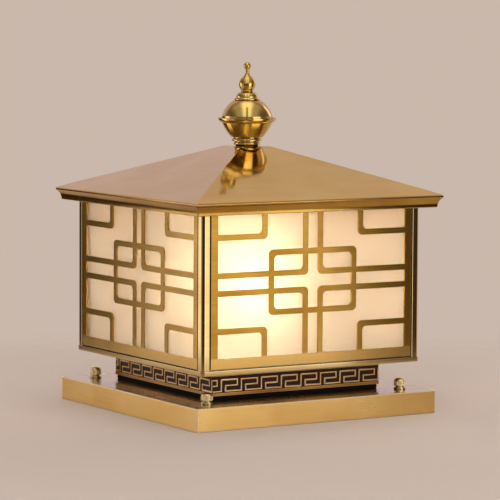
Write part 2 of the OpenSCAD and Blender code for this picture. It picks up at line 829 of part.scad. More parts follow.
module roof_inside() mirrored_outline() {
    side_x = head_x - fascia_t;
    polygon([
        [0, hem_z - past], [hem_x - fascia_t, hem_z - past], [hem_x - fascia_t, hem_z], [side_x, nose_z],
        [side_x, roof_under(side_x)], [roof_under_half(flat_z - roof_t), flat_z - roof_t], [0, flat_z - roof_t]
    ]);
}

module roof_shell() color(brass_satin) difference() {
    mitred(2 * roof_w) roof_outside();
    mitred(2 * roof_w) roof_inside();
    translate([0, 0, flat_z - roof_t - past]) cylinder(r = rod_hole_r, h = roof_t + 2 * past);
}

module soffit_frame() color(brass_dark) {
    square_ring(hem_x - fascia_t, body_half + lip_t + soffit_gap, hem_z, soffit_t);
}

module roof_seal() color([0.15, 0.15, 0.15]) {
    outer = body_half - rest_in + seal_w;
    square_ring(outer, body_half - rest_in, body_top, seal_h);
}

// Angle ring inside the roof: its level leg stands on the seal and its upright leg meets the slope
module rest_frame() color(steel) {
    rest_z = body_top + seal_h;
    inner = body_half - rest_in;
    square_ring(roof_under_half(rest_z + soffit_t), inner, rest_z, soffit_t);
    square_ring(inner + soffit_t, inner, rest_z, roof_under(inner + soffit_t) - rest_z);
}

module apex_plate() color(steel) difference() {
    translate([0, 0, flat_z - roof_t - apex_t]) linear_extrude(apex_t)
        square_mid(2 * roof_under_half(flat_z - roof_t) - 1);
    translate([0, 0, flat_z - roof_t - apex_t - past]) cylinder(r = rod_hole_r, h = apex_t + 2 * past);
}

// Finial, turned and spun pieces stacked on the rod
module turned(points) {
    rotate_extrude($fn = 96) polygon(points);
}

module finial_washer() color([0.1, 0.1, 0.1]) {
    tube(collar_r - 0.7, rod_hole_r, flat_z, seal_washer_t);
}

module finial_collar() color(brass_satin) {
    ring_h = collar_h * 0.35;
    groove_r = collar_r - 1;
    bead_low = collar_h * 0.47;
    bead_high = collar_h * 0.82;
    turned(concat(
        [[finial_bore_r, collar_z], [collar_r - 0.3, collar_z]],
        bulge([collar_r - 0.2, collar_z + 0.3], [collar_r - 0.2, collar_z + ring_h], 0.5, 6),
        [[groove_r, collar_z + ring_h], [groove_r, collar_z + bead_low]],
        bulge([collar_bead_r - 0.7, collar_z + bead_low], [collar_bead_r - 0.7, collar_z + bead_high], 0.7, 6),
        [[collar_bead_r - 1.6, collar_z + bead_high], [collar_bead_r - 1.6, bowl_z], [finial_bore_r, bowl_z]]));
}

module finial_bowl() color(brass_satin) {
    foot = [bowl_foot_r, bowl_z];
    mouth = [bowl_r, rim_z];
    turned(concat(
        [[finial_bore_r, bowl_z]],
        bulge(foot, mouth, 1.1),
        backwards(bulge([bowl_foot_r - spun_t, bowl_z + spun_t], [bowl_r - spun_t, rim_z], 1.1)),
        [[finial_bore_r, bowl_z + spun_t]]));
}

module finial_rim() color(brass_satin) {
    flat_r = dome_r + 0.4;
    lip = 0.8;
    turned(concat(
        [[bowl_r - 3, rim_z], [flat_r - 0.5, rim_z]],
        bulge([flat_r, rim_z + 0.2], [rim_r, rim_z + rim_h - 1], 0.7),
        [[rim_r, rim_z + rim_h], [rim_r - lip, rim_z + rim_h]],
        backwards(bulge([flat_r, dome_z], [rim_r - lip, rim_z + rim_h - 1], 0.5)),
        [[bowl_r - 3, dome_z]]));
}

module finial_dome() color(brass_satin) {
    shoulder_z = dome_z + dome_h * 0.25;
    turned(concat(
        [[dome_r - spun_t, dome_z], [dome_r, dome_z]],
        bulge([dome_r - 0.1, shoulder_z], [dome_top_r, bead_z], 1.9),
        [[finial_bore_r, bead_z], [finial_bore_r, bead_z - spun_t]],
        backwards(bulge([dome_r - spun_t, shoulder_z], [dome_top_r - spun_t, bead_z - spun_t], 1.7))));
}

module finial_bead() color(brass_satin) {
    small_z = bead_z + bead_h;
    turned(concat(
        [[finial_bore_r, bead_z], [bead_r - 0.6, bead_z]],
        bulge([bead_r - 0.5, bead_z + 0.2], [bead_r - 0.9, small_z], 0.7, 6),
        bulge([small_dome_r, small_z], [tip_ring_r + 0.3, tip_z], 1.6),
        [[finial_bore_r, tip_z]]));
}

module finial_tip() color(brass_satin) {
    widest_z = drop_z + drop_low_h;
    foot_r = tip_ring_r + 0.9;
    thread_top = rod_top + blind_gap;
    foot_a = acos(foot_r / drop_r);
    low_h = drop_low_h / sin(foot_a);
    difference() {
        turned(concat(
            [[0, tip_z], [tip_ring_r - 0.3, tip_z]],
            bulge([tip_ring_r - 0.2, tip_z + 0.2], [tip_ring_r - 0.2, drop_z - 0.1], 0.4, 6),
            oval(drop_r, low_h, widest_z, -foot_a, 0, 8),
            s_curve(drop_r, drop_neck_r, widest_z + 0.2, widest_z + drop_high_h),
            oval(ball_r, ball_r, ball_z, -ball_under_a, quarter, 12)));
        translate([0, 0, tip_z - past]) cylinder(r = finial_bore_r, h = thread_top - tip_z + past);
    }
}

// Lamp
module holder_bracket() color(steel) difference() {
    union() {
        raised = bracket_half - bracket_foot;
        for (x = [-1, 1]) translate([x * (bracket_half - bracket_foot / 2), 0, floor_top + bracket_t / 2])
            cube([bracket_foot, bracket_w, bracket_t], center = true);
        for (x = [-1, 1]) translate([x * (raised - bracket_t / 2), 0, floor_top + bracket_rise / 2])
            cube([bracket_t, bracket_w, bracket_rise], center = true);
        translate([-raised, -bracket_w / 2, holder_z - bracket_t]) cube([2 * raised, bracket_w, bracket_t]);
    }
    lead_slot(floor_top, bracket_rise + past);
    for (x = [-1, 1]) translate([x * bracket_screw_x, 0, floor_top - past])
        cylinder(d = screw_d + 2 * screw_gap, h = bracket_t + 2 * past);
    holder_screw_holes(holder_z - bracket_t - past, bracket_t + 2 * past);
}

module holder_screw_holes(z, h) {
    for (y = [-1, 1]) translate([0, y * holder_screw_y, z]) cylinder(d = screw_d + 2 * screw_gap, h = h);
}

// Two screws hold the bracket to the floor and two hold the lampholder to the bracket
module holder_screws() color(steel) {
    for (x = [-1, 1]) translate([x * bracket_screw_x, 0, floor_top + bracket_t])
        screw(bracket_t + frame_t + screw_tail);
    for (y = [-1, 1]) translate([0, y * holder_screw_y, socket_z])
        screw(socket_z - holder_z + bracket_t + screw_tail);
}

module lampholder() color([0.93, 0.92, 0.88]) {
    top = holder_z + holder_h;
    edge = 1.5;
    foot_h = 5;
    difference() {
        rotate_extrude() polygon([
            [0, holder_z], [holder_foot_r, holder_z], [holder_foot_r, holder_z + foot_h],
            [holder_r, holder_z + foot_h + edge], [holder_r, top - edge], [holder_r - edge, top],
            [socket_r, top], [socket_r, socket_z], [0, socket_z]
        ]);
        holder_screw_holes(holder_z - past, socket_z - holder_z + 2 * past);
    }
}

module holder_contacts() color([0.80, 0.62, 0.28]) {
    shell_below = 1;
    translate([0, 0, socket_z]) cylinder(r = contact_r, h = contact_h);
    tube(socket_r, cap_r + cap_gap, socket_z, socket_depth - shell_below);
}

module bulb_cap() color([0.78, 0.76, 0.72]) {
    shell_z = bulb_z + insulator_h;
    edge = 1;
    insulator_r = 11;
    rotate_extrude() polygon([
        [0, bulb_z], [contact_r, bulb_z], [contact_r + edge, bulb_z + edge], [insulator_r, shell_z],
        [cap_r, shell_z + edge], [cap_r, cap_top], [0, cap_top]
    ]);
}

module bulb_glass() color([1, 0.96, 0.82]) {
    neck_r = cap_r - 0.2;
    wall = 1;
    join_a = -50;
    join = [bulb_r * cos(join_a), bulb_mid + bulb_r * sin(join_a)];
    difference() {
        rotate_extrude() polygon(concat(
            [[0, cap_top], [neck_r, cap_top]],
            [for (i = [1:8]) let (t = i / 8)
                [neck_r + (join[0] - neck_r) * pow(t, 1.7), cap_top + (join[1] - cap_top) * t]],
            oval(bulb_r, bulb_r, bulb_mid, join_a, quarter, 20)));
        translate([0, 0, bulb_mid]) sphere(bulb_r - wall);
        translate([0, 0, cap_top - past]) cylinder(r = neck_r - wall, h = bulb_mid - cap_top + past);
    }
}

// Wiring
module cable_gland() color([0.12, 0.12, 0.12]) {
    hex_r = gland_r + 4.5;
    hex_h = 5;
    clamp_r = gland_r + 2;
    clamp_h = 7;
    thread_below = 8;
    nut_h = 4.5;
    below = base_h - base_t;
    difference() {
        union() {
            translate([0, 0, below - thread_below]) cylinder(r = gland_r, h = base_t + thread_below);
            translate([0, 0, base_h]) cylinder(r = hex_r, h = hex_h, $fn = 6);
            translate([0, 0, base_h + hex_h]) cylinder(r = clamp_r, h = clamp_h);
        }
        cylinder(r = gland_bore_r, h = body_z);
    }
    translate([0, 0, below - nut_h]) difference() {
        cylinder(r = hex_r, h = nut_h, $fn = 6);
        translate([0, 0, -past]) cylinder(r = gland_r + thread_gap, h = nut_h + 2 * past);
    }
}

module at_poles() {
    for (y = [-1, 0, 1]) translate([block_x, y * pole_pitch, 0]) children();
}

module terminal_block() color([0.92, 0.92, 0.90]) difference() {
    length = 3 * pole_pitch + 2 * block_end;
    translate([block_x - block_w / 2, -length / 2, base_h]) cube([block_w, length, block_h]);
    at_poles() translate([0, 0, insert_z]) cylinder(r = pole_r, h = block_h);
}

module terminal_inserts() color([0.80, 0.62, 0.28]) {
    at_poles() translate([0, 0, insert_z]) cylinder(r = pole_r, h = insert_h);
}

// A lead that rises from the terminal block, runs level under the floor and rises again
module lead(run, top) {
    start = insert_z + insert_h;
    way = sign(run);
    translate([0, 0, start]) cylinder(r = lead_r, h = lead_z - lead_bend - start);
    translate([way * lead_bend, 0, lead_z - lead_bend]) rotate([quarter, 0, 0]) rotate([0, 0, way > 0 ? quarter : 0])
        rotate_extrude(angle = quarter) translate([lead_bend, 0]) circle(lead_r);
    translate([way * lead_bend, 0, lead_z]) rotate([0, way * quarter, 0])
        cylinder(r = lead_r, h = abs(run) - 2 * lead_bend);
    translate([run - way * lead_bend, 0, lead_z + lead_bend]) rotate([quarter, 0, 0])
        rotate([0, 0, way > 0 ? -quarter : half_turn])
        rotate_extrude(angle = quarter) translate([lead_bend, 0]) circle(lead_r);
    translate([run, 0, lead_z + lead_bend]) cylinder(r = lead_r, h = top - lead_z - lead_bend);
}

module lamp_leads() color([0.45, 0.25, 0.12]) {
    for (y = [-1, 1]) translate([block_x, y * pole_pitch, 0]) lead(lead_x - block_x, holder_z);
}

module earth_lead() color([0.35, 0.60, 0.20]) {
    translate([block_x, 0, 0]) lead(earth_x - block_x, web_top - lug_t);
}

// Lug under the floor with its clinched nut, and the screw that goes into the nut
module earth_terminal() color([0.80, 0.62, 0.28]) {
    nut_h = 2.4;
    screw_x = earth_x + lug_screw;
    difference() {
        translate([earth_x - lug_w / 2, -lug_w / 2, web_top - lug_t]) cube([lug_screw + lug_w, lug_w, lug_t]);
        translate([screw_x, 0, web_top - lug_t - past]) cylinder(d = screw_d + 2 * screw_gap, h = lug_t + 2 * past);
    }
    translate([screw_x, 0, floor_top]) screw(frame_t + lug_t + nut_h + screw_tail);
    translate([screw_x, 0, web_top - lug_t - nut_h]) difference() {
        cylinder(d = 2 * screw_d, h = nut_h, $fn = 6);
        translate([0, 0, -past]) cylinder(d = screw_d + 2 * thread_gap, h = nut_h + 2 * past);
    }
}

mounting_plate();
base_cover();
stud_washers();
cap_nut(-1, -1);  // cap_nut_front_left
cap_nut(1, -1);  // cap_nut_front_right
cap_nut(1, 1);  // cap_nut_back_right
cap_nut(-1, 1);  // cap_nut_back_left
neck_gasket();
neck_box();
neck_bolts();
frieze(0);  // frieze_front
frieze(quarter);  // frieze_right
frieze(2 * quarter);  // frieze_back
frieze(3 * quarter);  // frieze_left
lantern_floor();
bottom_frame();
top_frame();
corner_post(0);  // corner_post_front_left
corner_post(quarter);  // corner_post_front_right
corner_post(2 * quarter);  // corner_post_back_right
corner_post(3 * quarter);  // corner_post_back_left
lattice(0);  // lattice_front
lattice(quarter);  // lattice_right
lattice(2 * quarter);  // lattice_back
lattice(3 * quarter);  // lattice_left
pane(0);  // pane_front
pane(quarter);  // pane_right
pane(2 * quarter);  // pane_back
pane(3 * quarter);  // pane_left
glazing_clips();
clip_screws();
crossbar();
crossbar_screws();
finial_rod();
rod_nuts();
roof_seal();
roof_shell();
soffit_frame();
rest_frame();
apex_plate();
finial_washer();
finial_collar();
finial_bowl();
finial_rim();
finial_dome();
finial_bead();
finial_tip();
holder_bracket();
holder_screws();
lampholder();
holder_contacts();
bulb_glass();
bulb_cap();
cable_gland();
terminal_block();
terminal_inserts();
lamp_leads();
earth_lead();
earth_terminal();
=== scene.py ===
import math

import bmesh
import bpy
from mathutils import Matrix, Vector


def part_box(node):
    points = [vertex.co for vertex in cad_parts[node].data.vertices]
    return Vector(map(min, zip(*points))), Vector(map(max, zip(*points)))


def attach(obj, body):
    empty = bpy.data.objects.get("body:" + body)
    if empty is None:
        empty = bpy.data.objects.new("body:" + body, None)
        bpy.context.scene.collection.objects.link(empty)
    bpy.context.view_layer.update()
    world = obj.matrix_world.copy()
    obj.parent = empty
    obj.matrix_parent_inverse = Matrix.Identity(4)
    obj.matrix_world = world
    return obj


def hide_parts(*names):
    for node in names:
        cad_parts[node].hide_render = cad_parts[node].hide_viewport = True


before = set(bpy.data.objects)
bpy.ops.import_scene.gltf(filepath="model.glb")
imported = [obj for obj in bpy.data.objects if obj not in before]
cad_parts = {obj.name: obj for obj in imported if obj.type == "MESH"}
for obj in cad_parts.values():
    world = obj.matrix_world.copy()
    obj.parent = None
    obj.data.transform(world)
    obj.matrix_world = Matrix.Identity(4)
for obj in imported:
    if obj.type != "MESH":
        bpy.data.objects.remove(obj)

# Brass pillar lantern. Sizes are in millimetres and become metres where a mesh is made.
# The front wall looks along -Y and the left wall along -X.
MM = 0.001
QUARTER = math.pi / 2
SIDES = ("front", "right", "back", "left")
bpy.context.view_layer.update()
scene = bpy.context.scene
scene.view_settings.view_transform = "Standard"

# Camera: to the left of the front wall, slightly above, with a long lens
# Its turn, rise and roll in degrees, and its distance in metres from a point inside the lantern
CAMERA_TURN, CAMERA_RISE, CAMERA_ROLL = -31.45, 4.65, -0.30
CAMERA_AWAY, LOOK_AT = 3.015, Vector((0, 0, 0.180))
SENSOR_MM, LENS_MM, CAMERA_SHIFT = 36, 204.26, (0.0072, -0.0252)


def stand_camera():
    turn, rise, roll = (math.radians(angle) for angle in (CAMERA_TURN, CAMERA_RISE, CAMERA_ROLL))
    back = Vector((math.sin(turn) * math.cos(rise), -math.cos(turn) * math.cos(rise), math.sin(rise)))
    right = Vector((math.cos(turn), math.sin(turn), 0))
    up = back.cross(right)
    tilted_right = right * math.cos(roll) - up * math.sin(roll)
    tilted_up = right * math.sin(roll) + up * math.cos(roll)
    data = bpy.data.cameras.new("camera")
    data.sensor_width, data.lens = SENSOR_MM, LENS_MM
    data.shift_x, data.shift_y = CAMERA_SHIFT
    data.clip_end = 200
    camera = bpy.data.objects.new("camera", data)
    scene.collection.objects.link(camera)
    matrix = Matrix((tilted_right, tilted_up, back)).transposed().to_4x4()
    matrix.translation = LOOK_AT + back * CAMERA_AWAY
    camera.matrix_world = matrix
    scene.camera = camera


stand_camera()


# Nodes
def add(tree, kind, inputs=None, **settings):
    """Adds one node with its settings. An input gets a value, or a link from a socket or from the first
    output of a node."""
    node = tree.nodes.new(kind)
    for key, value in settings.items():
        setattr(node, key, value)
    for key, value in (inputs or {}).items():
        if isinstance(value, bpy.types.Node):
            value = value.outputs[0]
        if isinstance(value, bpy.types.NodeSocket):
            tree.links.new(value, node.inputs[key])
        else:
            node.inputs[key].default_value = value
    return node


def linear(colour):
    """An sRGB hex value as linear red, green, blue and alpha."""
    parts = [int(colour[i:i + 2], 16) / 255 for i in (1, 3, 5)]
    return tuple(c / 12.92 if c <= 0.04045 else ((c + 0.055) / 1.055) ** 2.4 for c in parts) + (1.0,)


# Materials
# How wide the patches of tone, the dents of the rolling and the darkening in the recesses, patina and painted
# shade, are in brass
PATCH_MM, DENT_MM, RECESS_SHADE_MM = 55, 70, 5


def blank_material(name):
    material = bpy.data.materials.new(name)
    material.use_nodes = True
    material.node_tree.nodes.clear()
    return material, material.node_tree


def close_material(tree, shader):
    add(tree, "ShaderNodeOutputMaterial", {"Surface": shader})


def brass(name, bright, deep, patina, rough, brushed, streak_mm, dent_mm, lacquer, wear_and_highlight=0.5, painted_reflection_mm=0,
          foot=""):
    """Brass sheet or turning, brushed level and lacquered. Slow changes between two tones, brush lines that
    run level and vary tone and shine, darkening in the recesses that is patina and painted shade, paler
    metal along the edges that is rubbed wear and a painted highlight, a paler painted reflection on the
    lowest rail where asked, and a slow unevenness from rolling or spinning that bends the reflections.
    Brush lines are near 0.05 mm and are drawn coarser."""
    material, tree = blank_material(name)
    place = add(tree, "ShaderNodeTexCoord").outputs["Object"]
    patch = add(tree, "ShaderNodeTexNoise", {"Vector": place, "Scale": 1 / (PATCH_MM * MM), "Detail": 2.0})
    along = add(tree, "ShaderNodeMapping", {"Vector": place, "Scale": (12.0, 12.0, 1 / (streak_mm * MM))})
    streak = add(tree, "ShaderNodeTexNoise", {"Vector": along, "Scale": 1.0, "Detail": 3.0,
                                              "Roughness": 0.55})
    both = add(tree, "ShaderNodeMath", {0: streak, 1: 0.45, 2: patch},
               operation="MULTIPLY_ADD")
    share = add(tree, "ShaderNodeMapRange", {"Value": both, "From Min": 0.50, "From Max": 0.95})
    tone = add(tree, "ShaderNodeMix", {0: share, 6: linear(deep), 7: linear(bright)}, data_type="RGBA")
    if painted_reflection_mm:
        # Painted reflection: the lowest rail is paler below this height, as if it mirrored the pale base top
        level = add(tree, "ShaderNodeSeparateXYZ", {0: place}).outputs["Z"]
        painted_reflection_share = add(tree, "ShaderNodeMapRange", {"Value": level, "From Min": painted_reflection_mm * MM,
                                                 "From Max": (painted_reflection_mm - 2) * MM})
        tone = add(tree, "ShaderNodeMix", {0: painted_reflection_share, 6: tone.outputs[2], 7: linear(foot)},
                   data_type="RGBA")
    # Painted shade and patina: recesses darken towards the patina colour by how closed in they are
    recess = add(tree, "ShaderNodeAmbientOcclusion", {"Distance": RECESS_SHADE_MM * MM}, samples=4)
    patina_and_shade_share = add(tree, "ShaderNodeMapRange", {"Value": recess.outputs["AO"], "From Min": 0.25, "From Max": 0.75,
                                            "To Min": 0.85, "To Max": 0.0})
    patina_and_shade_tone = add(tree, "ShaderNodeMix", {0: patina_and_shade_share, 6: tone.outputs[2], 7: linear(patina)},
               data_type="RGBA")
    # Edges: where the normal of a rounded copy leaves the true one, the finish is rubbed and the metal paler,
    # which is wear and a painted highlight
    round_normal = add(tree, "ShaderNodeBevel", {"Radius": (0.6 + 1.6 * wear_and_highlight) * MM}, samples=4)
    true_normal = add(tree, "ShaderNodeNewGeometry")
    same = add(tree, "ShaderNodeVectorMath", {0: round_normal, 1: true_normal.outputs["Normal"]},
               operation="DOT_PRODUCT")
    edge = add(tree, "ShaderNodeMapRange", {"Value": same.outputs["Value"], "From Min": 0.995,
                                            "From Max": 0.80,
                                            "To Min": 0.0, "To Max": wear_and_highlight})
    worn_and_highlit = add(tree, "ShaderNodeMix", {0: edge, 6: patina_and_shade_tone.outputs[2], 7: linear("#FFF0C8")},
               data_type="RGBA")
    shine = add(tree, "ShaderNodeMapRange", {"Value": both, "From Min": 0.45, "From Max": 1.0,
                                             "To Min": 1.2 * rough, "To Max": 0.8 * rough})
    rubbed = add(tree, "ShaderNodeMath", {0: edge, 1: 0.25, 2: shine},
                 operation="MULTIPLY_ADD")
    wave = add(tree, "ShaderNodeTexNoise", {"Vector": place, "Scale": 1 / (DENT_MM * MM), "Detail": 1.0})
    slow = add(tree, "ShaderNodeBump", {"Height": wave, "Strength": 1.0, "Distance": dent_mm * MM})
    fine = add(tree, "ShaderNodeBump", {"Height": streak, "Strength": 0.4, "Distance": 0.006 * MM,
                                        "Normal": slow})
    # Level brush lines spread a reflection up and down, so the tangent stands upright
    upright = add(tree, "ShaderNodeCombineXYZ", {0: 0.02, 1: 0.01, 2: 1.0})
    shader = add(tree, "ShaderNodeBsdfPrincipled", {
        "Base Color": worn_and_highlit.outputs[2], "Metallic": 1.0, "Roughness": rubbed, "Normal": fine,
        "Anisotropic": brushed, "Tangent": upright, "Coat Weight": lacquer, "Coat Roughness": 0.10})
    close_material(tree, shader)
    return material


def moulded(name, colour, pale, rough, grain_mm, depth_mm, specular=0.5):
    """Moulded or extruded rubber and plastic: one even colour with a slightly paler bloom and a fine pebbled
    skin."""
    material, tree = blank_material(name)
    place = add(tree, "ShaderNodeTexCoord").outputs["Object"]
    bloom = add(tree, "ShaderNodeTexNoise", {"Vector": place, "Scale": 1 / (14 * MM), "Detail": 3.0})
    tone = add(tree, "ShaderNodeMix", {0: bloom, 6: linear(colour), 7: linear(pale)}, data_type="RGBA")
    pebble = add(tree, "ShaderNodeTexNoise", {"Vector": place, "Scale": 1 / (grain_mm * MM), "Detail": 2.0})
    shine = add(tree, "ShaderNodeMapRange", {"Value": pebble, "To Min": rough - 0.08,
                                             "To Max": rough + 0.08})
    skin = add(tree, "ShaderNodeBump", {"Height": pebble, "Strength": 0.6, "Distance": depth_mm * MM})
    shader = add(tree, "ShaderNodeBsdfPrincipled", {
        "Base Color": tone.outputs[2], "Roughness": shine, "Normal": skin, "IOR": 1.5,
        "Specular IOR Level": specular})
    close_material(tree, shader)
    return material


def zinc_plated_steel():
    """Zinc plated steel: blue-grey with faint crystal patches a few millimetres across, each with its own
    shine."""
    material, tree = blank_material("steel_zinc_plated")
    place = add(tree, "ShaderNodeTexCoord").outputs["Object"]
    crystal = add(tree, "ShaderNodeTexVoronoi", {"Vector": place, "Scale": 1 / (5 * MM), "Randomness": 1.0})
    shade = add(tree, "ShaderNodeSeparateColor", {0: crystal.outputs["Color"]})
    tone = add(tree, "ShaderNodeMix", {0: shade, 6: linear("#A9ADB2"), 7: linear("#C9CCCF")},
               data_type="RGBA")
    shine = add(tree, "ShaderNodeMapRange", {"Value": shade.outputs[1], "To Min": 0.30, "To Max": 0.46})
    scratch = add(tree, "ShaderNodeTexNoise", {"Vector": place, "Scale": 1 / (1.5 * MM), "Detail": 4.0})
    skin = add(tree, "ShaderNodeBump", {"Height": scratch, "Strength": 0.3, "Distance": 0.04 * MM})
    shader = add(tree, "ShaderNodeBsdfPrincipled", {
        "Base Color": tone.outputs[2], "Metallic": 1.0, "Roughness": shine, "Normal": skin})
    close_material(tree, shader)
    return material


def aluminium_rolled():
    """Rolled aluminium of the bulb's screw cap: pale, soft shine, with dull rub marks."""
    material, tree = blank_material("aluminium_rolled")
    place = add(tree, "ShaderNodeTexCoord").outputs["Object"]
    rub = add(tree, "ShaderNodeTexNoise", {"Vector": place, "Scale": 1 / (3 * MM), "Detail": 4.0})
    tone = add(tree, "ShaderNodeMix", {0: rub, 6: linear("#B9B6B0"), 7: linear("#D8D6D2")},
               data_type="RGBA")
    shine = add(tree, "ShaderNodeMapRange", {"Value": rub, "To Min": 0.22, "To Max": 0.42})
    shader = add(tree, "ShaderNodeBsdfPrincipled", {
        "Base Color": tone.outputs[2], "Metallic": 1.0, "Roughness": shine})
    close_material(tree, shader)
    return material


def ceramic_glazed():
    """Glazed porcelain of the lampholder: off-white with a wet shine over a slightly wavy glaze."""
    material, tree = blank_material("porcelain_glazed")
    place = add(tree, "ShaderNodeTexCoord").outputs["Object"]
    cloud = add(tree, "ShaderNodeTexNoise", {"Vector": place, "Scale": 1 / (9 * MM), "Detail": 2.0})
    tone = add(tree, "ShaderNodeMix", {0: cloud, 6: linear("#E9E4D8"), 7: linear("#F6F3EA")},
               data_type="RGBA")
    glaze = add(tree, "ShaderNodeBump", {"Height": cloud, "Strength": 0.5, "Distance": 0.08 * MM})
    shader = add(tree, "ShaderNodeBsdfPrincipled", {
        "Base Color": tone.outputs[2], "Roughness": 0.12, "IOR": 1.52, "Normal": glaze})
    close_material(tree, shader)
    return material


def glass_etched():
    """Acid-etched glass: milky and cream, it spreads the bulb's light into a soft hot spot. The etch is a
    grain far finer than a millimetre, drawn here at 1.5 mm so that it shows."""
    material, tree = blank_material("glass_acid_etched")
    place = add(tree, "ShaderNodeTexCoord").outputs["Object"]
    etch = add(tree, "ShaderNodeTexNoise", {"Vector": place, "Scale": 1 / (1.5 * MM), "Detail": 3.0})
    cloud = add(tree, "ShaderNodeTexNoise", {"Vector": place, "Scale": 1 / (30 * MM), "Detail": 3.0})
    tone = add(tree, "ShaderNodeMix", {0: cloud, 6: linear("#FFF3E4"), 7: linear("#FFFAF2")},
               data_type="RGBA")
    shine = add(tree, "ShaderNodeMapRange", {"Value": etch, "To Min": 0.58, "To Max": 0.70})
    skin = add(tree, "ShaderNodeBump", {"Height": etch, "Strength": 0.25, "Distance": 0.05 * MM})
    shader = add(tree, "ShaderNodeBsdfPrincipled", {
        "Base Color": tone.outputs[2], "Roughness": shine, "IOR": 1.5, "Transmission Weight": 0.70,
        "Normal": skin})
    close_material(tree, shader)
    return material


def bulb_lit():
    """Opal glass of the bulb, white powder coated inside and lit: an even warm glow with a slightly mottled
    coat."""
    material, tree = blank_material("opal_glass_lit")
    place = add(tree, "ShaderNodeTexCoord").outputs["Object"]
    mottle = add(tree, "ShaderNodeTexNoise", {"Vector": place, "Scale": 1 / (6 * MM), "Detail": 3.0})
    tone = add(tree, "ShaderNodeMix", {0: mottle, 6: linear("#FFF1D6"), 7: linear("#FFFAF0")},
               data_type="RGBA")
    shader = add(tree, "ShaderNodeBsdfPrincipled", {
        "Base Color": tone.outputs[2], "Roughness": 0.25, "IOR": 1.5,
        "Emission Color": linear("#FFE7BA"), "Emission Strength": 60.0})
    close_material(tree, shader)
    return material


def key_ground():
    """Etched ground of the frieze: dark red-brown patina, matt, with coarser bite marks of the acid."""
    material, tree = blank_material("brass_etched_patina")
    place = add(tree, "ShaderNodeTexCoord").outputs["Object"]
    bite = add(tree, "ShaderNodeTexNoise", {"Vector": place, "Scale": 1 / (1.2 * MM), "Detail": 4.0})
    tone = add(tree, "ShaderNodeMix", {0: bite, 6: linear("#281006"), 7: linear("#461E0C")},
               data_type="RGBA")
    skin = add(tree, "ShaderNodeBump", {"Height": bite, "Strength": 0.6, "Distance": 0.1 * MM})
    shader = add(tree, "ShaderNodeBsdfPrincipled", {
        "Base Color": tone.outputs[2], "Metallic": 0.55, "Roughness": 0.48, "Normal": skin})
    close_material(tree, shader)
    return material


# Rolled brass sheet under a clear polish that leaves faint level brush lines: roof
satin_brass = brass("brass_sheet_brushed", "#E8C883", "#DDBA70", "#5A3510", 0.08, 0.35, 1.6, 0.04, 0.20)
# The base cover's sides are brushed harder, which spreads their reflections up and down
base_brass = brass("brass_sheet_base", "#F4CC80", "#EBBE6E", "#5A3510", 0.34, 0.86, 1.6, 0.03, 0.20, 1.0)
# Its top is brushed less under a full coat of lacquer, so that it mirrors the neck and the nuts
top_brass = brass("brass_sheet_top", "#E8C883", "#DDBA70", "#5A3510", 0.26, 0.35, 1.6, 0.03, 0.95)
# Its edges are pale metal that scatters light: rubbed wear and a painted highlight
edge_highlight_brass = brass("brass_edge_rubbed_and_highlit", "#FFF0CC", "#FFE8B8", "#5A3510", 0.50, 0.20, 1.6, 0.0, 0.30, 0.0)
# The roof's folded edge below the nose, darker as painted shade
fold_shade_brass = brass("brass_fold_painted_shade", "#BF9440", "#A67830", "#3A1E08", 0.14, 0.50, 1.6, 0.02, 0.20)
# The walls' cut sheets are toned deeper than the roof and brushed more, and their lowest rail is paler as a
# painted reflection of the base top
toned_brass = brass("brass_sheet_toned", "#AE8437", "#996E25", "#3A1E08", 0.20, 0.60, 1.6, 0.02, 0.10, 0.2,
                    painted_reflection_mm=72, foot="#CCA35A")
# Folded posts and frame lips, brushed finer so that they reflect more clearly
post_brass = brass("brass_folded_bright", "#D8BC84", "#CAA868", "#42240A", 0.11, 0.50, 1.2, 0.01, 0.20)
# Neck mouldings under the walls, darker as painted shade
neck_shade_brass = brass("brass_moulding_dark", "#B5823A", "#8A5C24", "#2C1408", 0.38, 0.50, 1.4, 0.01, 0.20)
# Turned and spun brass, polished on the lathe: level tool lines stretch the highlights upright
polished_brass = brass("brass_turned_polished", "#E0BF6C", "#CEA750", "#3A1C06", 0.20, 0.65, 0.9, 0.005, 0.30)
# Cap nuts, turned in the same way, with a paler colour than the finial that is a painted sheen for their
# highlights
nut_sheen_brass = brass("brass_turned_pale", "#FDEAC0", "#F2DAA4", "#3A1C06", 0.20, 0.50, 0.9, 0.005, 0.30)
# Raised lines of the frieze, rubbed bright over the patina
key_brass = brass("brass_rubbed_bright", "#DDBC80", "#BE8F50", "#3A1C0A", 0.20, 0.40, 1.0, 0.005, 0.10)
# Bare pressed brass of contacts, terminals and lugs
contact_brass = brass("brass_bare_pressed", "#D9AE55", "#B98A3A", "#6A4216", 0.28, 0.30, 0.8, 0.01, 0.0)
zinc_steel = zinc_plated_steel()
etched_ground = key_ground()
etched_glass = glass_etched()
lit_glass = bulb_lit()
porcelain = ceramic_glazed()
cap_aluminium = aluminium_rolled()
# Gasket and seals: moulded EPDM, nearly black, no shine
black_rubber = moulded("rubber_epdm_moulded", "#0A0908", "#141211", 0.70, 0.8, 0.05, 0.15)
# Gland: moulded nylon, black with a low sheen
black_nylon = moulded("nylon_moulded", "#101010", "#1C1B1B", 0.40, 0.6, 0.03)
# Terminal block: moulded thermoset, pale grey
block_plastic = moulded("melamine_moulded", "#DEDCD4", "#EAE8E2", 0.42, 0.7, 0.02)
# Leads: extruded silicone insulation, smooth
brown_insulation = moulded("silicone_extruded_brown", "#4A2814", "#5C331B", 0.35, 1.0, 0.01)
green_insulation = moulded("silicone_extruded_green", "#4E8A24", "#6FA53A", 0.35, 1.0, 0.01)


